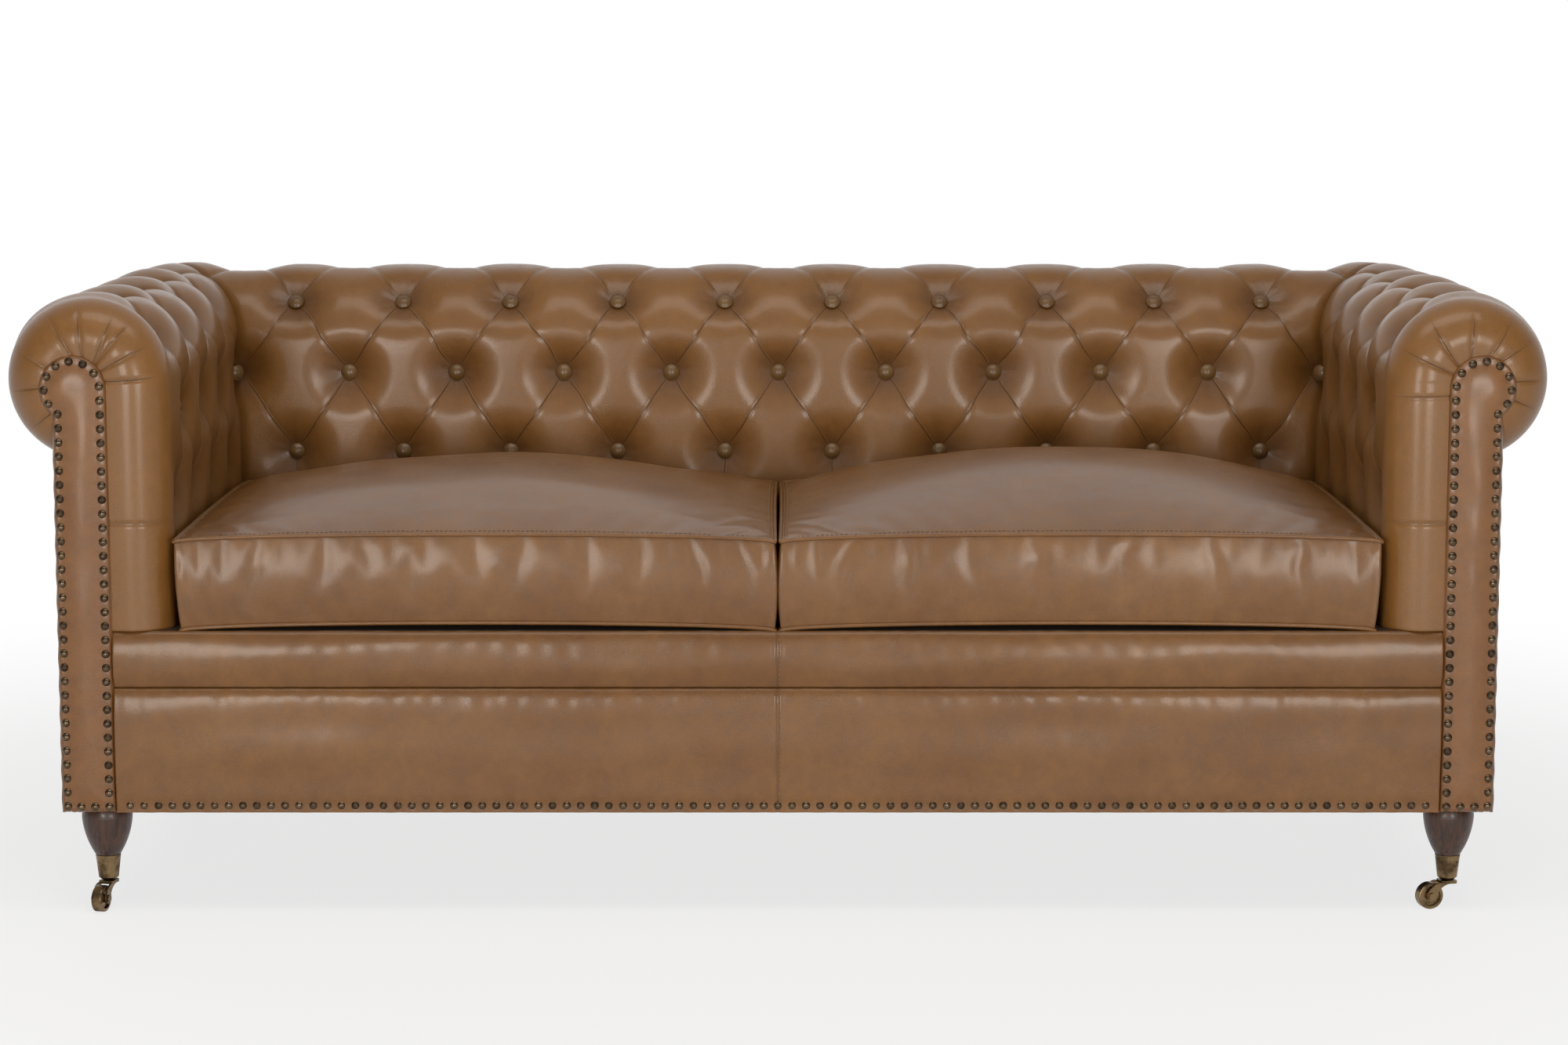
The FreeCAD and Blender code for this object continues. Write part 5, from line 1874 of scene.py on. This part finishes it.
@dataclass(frozen=True)
class Cloth:
    """A plain woven cloth."""

    name: str
    slot: str
    base: tuple[int, int, int]
    thread: float = 900.0
    roughness: float = 0.85

    def build(self) -> bpy.types.Material:
        """Builds the material."""
        material, tools, shader = new_material(self.name)
        place = tools.place()
        waves = []
        for direction in ("X", "Y"):
            wave = tools.add("ShaderNodeTexWave", wave_type="BANDS", bands_direction=direction)
            tools.link(place, wave.inputs["Vector"])
            wave.inputs["Scale"].default_value = self.thread
            wave.inputs["Distortion"].default_value = 0.6
            waves.append(wave.outputs["Fac"])
        weave = tools.math("MULTIPLY", waves[0], waves[1])
        cloudy = tools.noise(place, 14.0, 3.0, 0.5)
        darker = tuple(int(value * 0.72) for value in self.base)
        shade = tools.mix(tools.ramp(cloudy, 0.3, 0.7), linear(*self.base), linear(*darker))
        shade = tools.mix(tools.math("MULTIPLY", weave, 0.25), shade, linear(*darker))
        tools.link(shade, shader.inputs["Base Color"])
        shader.inputs["Roughness"].default_value = self.roughness
        tools.bump(shader, weave, 0.3, 0.0003)
        return material


@dataclass(frozen=True)
class Thread:
    """Waxed sewing thread."""

    name: str = "waxed_thread"
    slot: str = "tan_leather"
    base: tuple[int, int, int] = (158, 122, 78)
    dark: tuple[int, int, int] = (110, 80, 46)

    def build(self) -> bpy.types.Material:
        """Builds the material."""
        material, tools, shader = new_material(self.name)
        twist = tools.noise(tools.place(), 1400.0, 2.0, 0.5)
        tools.link(tools.mix(tools.ramp(twist, 0.35, 0.65), linear(*self.dark), linear(*self.base)),
                   shader.inputs["Base Color"])
        shader.inputs["Roughness"].default_value = 0.6
        tools.bump(shader, twist, 0.3, 0.0002)
        return material


@dataclass(frozen=True)
class Foam:
    """Open-celled upholstery foam."""

    name: str = "cream_foam"
    slot: str = "foam"
    base: tuple[int, int, int] = (224, 205, 160)
    dark: tuple[int, int, int] = (196, 172, 122)

    def build(self) -> bpy.types.Material:
        """Builds the material."""
        material, tools, shader = new_material(self.name)
        cells = tools.add("ShaderNodeTexVoronoi")
        tools.link(tools.place(), cells.inputs["Vector"])
        cells.inputs["Scale"].default_value = 520.0
        cell = tools.ramp(cells.outputs["Distance"], 0.0, 0.6)
        shade = tools.mix(cell, linear(*self.dark), linear(*self.base))
        tools.link(shade, shader.inputs["Base Color"])
        shader.inputs["Roughness"].default_value = 0.9
        tools.bump(shader, cells.outputs["Distance"], 0.4, 0.0006)
        return material


FINISHES = (
    Leather("tan_hide", "tan_leather", pleats=False),
    Leather("outside_hide", "outside_leather"),
    # Painted light: the facing's leather is a lighter copy of the tan leather, standing in for the sheen on
    # its flat front.
    Leather("facing_hide_painted_light", "facing_leather", base=(128, 83, 40), deep=(86, 53, 22), worn_and_sheen=(148, 103, 58)),
    Leather("button_hide", "button_leather", base=(106, 76, 40), deep=(70, 47, 22), worn_and_sheen=(134, 102, 62)),
    TurnedWood(),
    SawnWood(),
    Metal("aged_bronze", "bronze_nails", (104, 88, 70), (66, 54, 43), 0.25),
    Metal("aged_brass", "antique_brass", (132, 110, 80), (78, 62, 44), 0.26),
    Metal("oiled_spring_steel", "spring_steel", (120, 122, 126), (78, 78, 80), 0.36),
    Metal("zinc_plate", "zinc_steel", (190, 192, 196), (150, 152, 156), 0.32),
    Metal("zip_brass", "zip_metal", (150, 118, 66), (96, 72, 40), 0.30),
    Cloth("black_cambric_cloth", "black_cambric", (24, 24, 26)),
    Cloth("deck_cloth_brown", "deck_cloth", (66, 48, 34), 700.0),
    Cloth("zip_tape_cloth", "zip_tape", (92, 64, 40), 1400.0),
    Foam(),
)


class Wardrobe:
    """All finishes of the sofa, by the slot that they dress."""

    def __init__(self) -> None:
        """Builds the shared groups and every finish."""
        leather_grain_group()
        patina_group()
        pleat_lines_group()
        self.by_slot = {finish.slot: finish.build() for finish in FINISHES}
        self.pleated = Leather("tufted_hide", "tan_leather", pleats=True).build()
        self.thread = Thread().build()

    def dress(self, piece: bpy.types.Object, slot: str, pleated: bool = False, thread: bool = False) -> None:
        """Gives a new piece its finish.

        Args:
            piece: The new piece.
            slot: The record's slot that it takes its finish from.
            pleated: Whether it shows the folds of the tufting.
            thread: Whether it is sewing thread.
        """
        finish = self.thread if thread else self.pleated if pleated else self.by_slot[slot]
        piece.data.materials.clear()
        piece.data.materials.append(finish)

    def dress_nodes(self, slots: dict[str, str]) -> None:
        """Gives every CAD node the finish of its slot.

        Args:
            slots: The slot of each node.
        """
        for name, slot in slots.items():
            node = frame["nodes"][name]
            for place in node.material_slots:
                place.material = self.by_slot[slot]
            if not node.material_slots:
                node.data.materials.append(self.by_slot[slot])
            log.info("%s: %s", name, slot)


@dataclass
class Studio:
    """The floor, the soft lights and the camera of the photograph."""

    camera_at: tuple[float, float, float] = (0.008, -5.061, 1.1395)
    camera_tilt: float = 7.63
    lens: float = 83.4
    sensor: float = 36.0
    floor_shade: float = 0.86
    world_strength: float = 0.22
    studio_gloss: float = 0.0
    floor_fade_start: float = 0.9
    floor_fade_end: float = 2.6
    floor_glow: float = 0.75
    lamp_tint: tuple[float, float, float] = (1.0, 0.95, 0.87)
    front_lamp: tuple[float, float, float] = (1.55, -5.1, 0.80)
    front_size: tuple[float, float] = (1.2, 1.2)
    front_power: float = 68.0
    overhead_lamp: tuple[float, float, float] = (0.0, -1.4, 3.2)
    overhead_size: tuple[float, float] = (3.2, 1.0)
    overhead_power: float = 38.0
    paper_from: float = -0.2
    paper_full: float = 0.7
    floor_reach: float = 30.0
    floor_speck: float = 0.985

    def build(self) -> None:
        """Builds all of it."""
        self.floor()
        self.world()
        self.lights()
        self.camera()

    def floor(self) -> None:
        """A pale floor far past the view."""
        mesh = bpy.data.meshes.new("studio_floor")
        corners = [(x * self.floor_reach, y * self.floor_reach, 0.0)
                   for x, y in ((-1, -1), (1, -1), (1, 1), (-1, 1))]
        mesh.from_pydata(corners, [], [(0, 1, 2, 3)])
        floor = bpy.data.objects.new("studio_floor", mesh)
        bpy.context.scene.collection.objects.link(floor)
        material, tools, shader = new_material("pale_floor")
        place = tools.place()
        speck = tools.noise(place, 2.0, 2.0)
        shades = (self.floor_shade, self.floor_shade * self.floor_speck)
        pale, darker = ((value,) * 3 + (1.0,) for value in shades)
        tools.link(tools.mix(speck, pale, darker), shader.inputs["Base Color"])
        shader.inputs["Roughness"].default_value = 0.6
        shader.inputs["Specular IOR Level"].default_value = 0.2
        paper = tools.add("ShaderNodeEmission")
        reach = tools.add("ShaderNodeVectorMath", operation="LENGTH")
        tools.link(place, reach.inputs[0])
        far_off = tools.ramp(reach.outputs["Value"], self.floor_fade_start, self.floor_fade_end)
        blend = tools.add("ShaderNodeMixShader")
        glow = tools.math("MULTIPLY", tools.lerp(far_off, self.floor_glow), tools.paper_rays())
        tools.link(glow, blend.inputs[0])
        tools.link(shader.outputs[0], blend.inputs[1])
        tools.link(paper.outputs[0], blend.inputs[2])
        tools.link(blend.outputs[0], material.node_tree.nodes["Material Output"].inputs["Surface"])
        mesh.materials.append(material)

    def world(self) -> None:
        """A white world. Gloss sees bright paper behind the sofa and a dim studio before it."""
        world = bpy.data.worlds.new("studio_world")
        bpy.context.scene.world = world
        world.use_nodes = True
        tools = Sockets(world.node_tree)
        back = world.node_tree.nodes["Background"]
        towards = tools.add("ShaderNodeSeparateXYZ")
        tools.link(tools.add("ShaderNodeTexCoord").outputs["Generated"], towards.inputs[0])
        paper = tools.ramp(towards.outputs["Y"], self.paper_from, self.paper_full, self.studio_gloss, 1.0)
        strength = tools.lerp(tools.paper_rays(paper), self.world_strength)
        back.inputs["Color"].default_value = (1.0, 1.0, 1.0, 1.0)
        tools.link(strength, back.inputs["Strength"])

    def lights(self) -> None:
        """Two large softboxes at the front and one above."""
        out, front, up = self.front_lamp
        for side in Side:
            self.softbox(f"front_{side.value}", (side.sign * out, front, up), (0.0, 0.0, 0.5),
                         self.front_size, self.front_power)
        self.softbox("overhead", self.overhead_lamp, (0.0, 0.1, 0.4), self.overhead_size, self.overhead_power)

    def softbox(self, name: str, at: tuple[float, float, float], aim: tuple[float, float, float],
                size: tuple[float, float], power: float) -> None:
        """One area lamp.

        Args:
            name: The lamp's name.
            at: Where it hangs.
            aim: Where it points.
            size: Its width and height.
            power: Its power in watts.
        """
        lamp = bpy.data.lights.new(name, "AREA")
        lamp.shape = "RECTANGLE"
        lamp.size, lamp.size_y = size
        lamp.energy = power
        lamp.color = self.lamp_tint
        holder = bpy.data.objects.new(name, lamp)
        holder.location = at
        direction = Vector(aim) - Vector(at)
        holder.rotation_euler = direction.to_track_quat("-Z", "Y").to_euler()
        bpy.context.scene.collection.objects.link(holder)

    def camera(self) -> None:
        """The camera at the photograph's viewing angle."""
        data = bpy.data.cameras.new("photo_camera")
        data.lens = self.lens
        data.sensor_width = self.sensor
        data.sensor_fit = "HORIZONTAL"
        holder = bpy.data.objects.new("photo_camera", data)
        holder.location = self.camera_at
        holder.rotation_euler = (math.radians(90.0 - self.camera_tilt), 0.0, 0.0)
        bpy.context.scene.collection.objects.link(holder)
        bpy.context.scene.camera = holder
        bpy.context.scene.view_settings.view_transform = "Standard"


def node_slots() -> dict[str, str]:
    """The material slot of each CAD node, from the record."""
    return {part["node"]: part["material_slot"] for part in frame["record"]["subparts"]}


def main() -> None:
    """Builds and dresses the whole sofa, piece by piece."""
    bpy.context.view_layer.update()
    wardrobe = Wardrobe()
    wardrobe.dress_nodes(node_slots())
    for side in Side:
        for piece in ArmCover(side).build():
            wardrobe.dress(piece, "tan_leather", pleated="tufted" in piece.name,
                           thread="thread" in piece.name)
        wardrobe.dress(FacingPad(side).build(), "facing_leather")
        for piece in SeatCushion(side).build():
            slot = "foam" if "foam" in piece.name else "tan_leather"
            wardrobe.dress(piece, slot, thread="thread" in piece.name)
        wardrobe.dress(OutsidePanel(f"outer_arm_{side.value}", f"outside_arm_{side.value}").build(),
                       "outside_leather")
    wardrobe.dress(BackCover().build(), "tan_leather", pleated=True)
    wardrobe.dress(OutsidePanel("outer_back", "outside_back", seed=67).build(), "outside_leather")
    lip = FrontPanel("rolled_lip", "front_lip", low=0.3027, high=0.3757, front=-0.4203, puff=0.008,
                     fullest=0.339)
    border = FrontPanel("nailed_border", "front_border", low=0.137, high=0.302, front=-0.4227, puff=0.005,
                        fullest=0.262, nails_node="border_nails", seed=47)
    for panel in (lip, border):
        for piece in panel.build():
            wardrobe.dress(piece, "tan_leather", thread="thread" in piece.name)
    Studio().build()


if __name__ == "__main__":
    main()
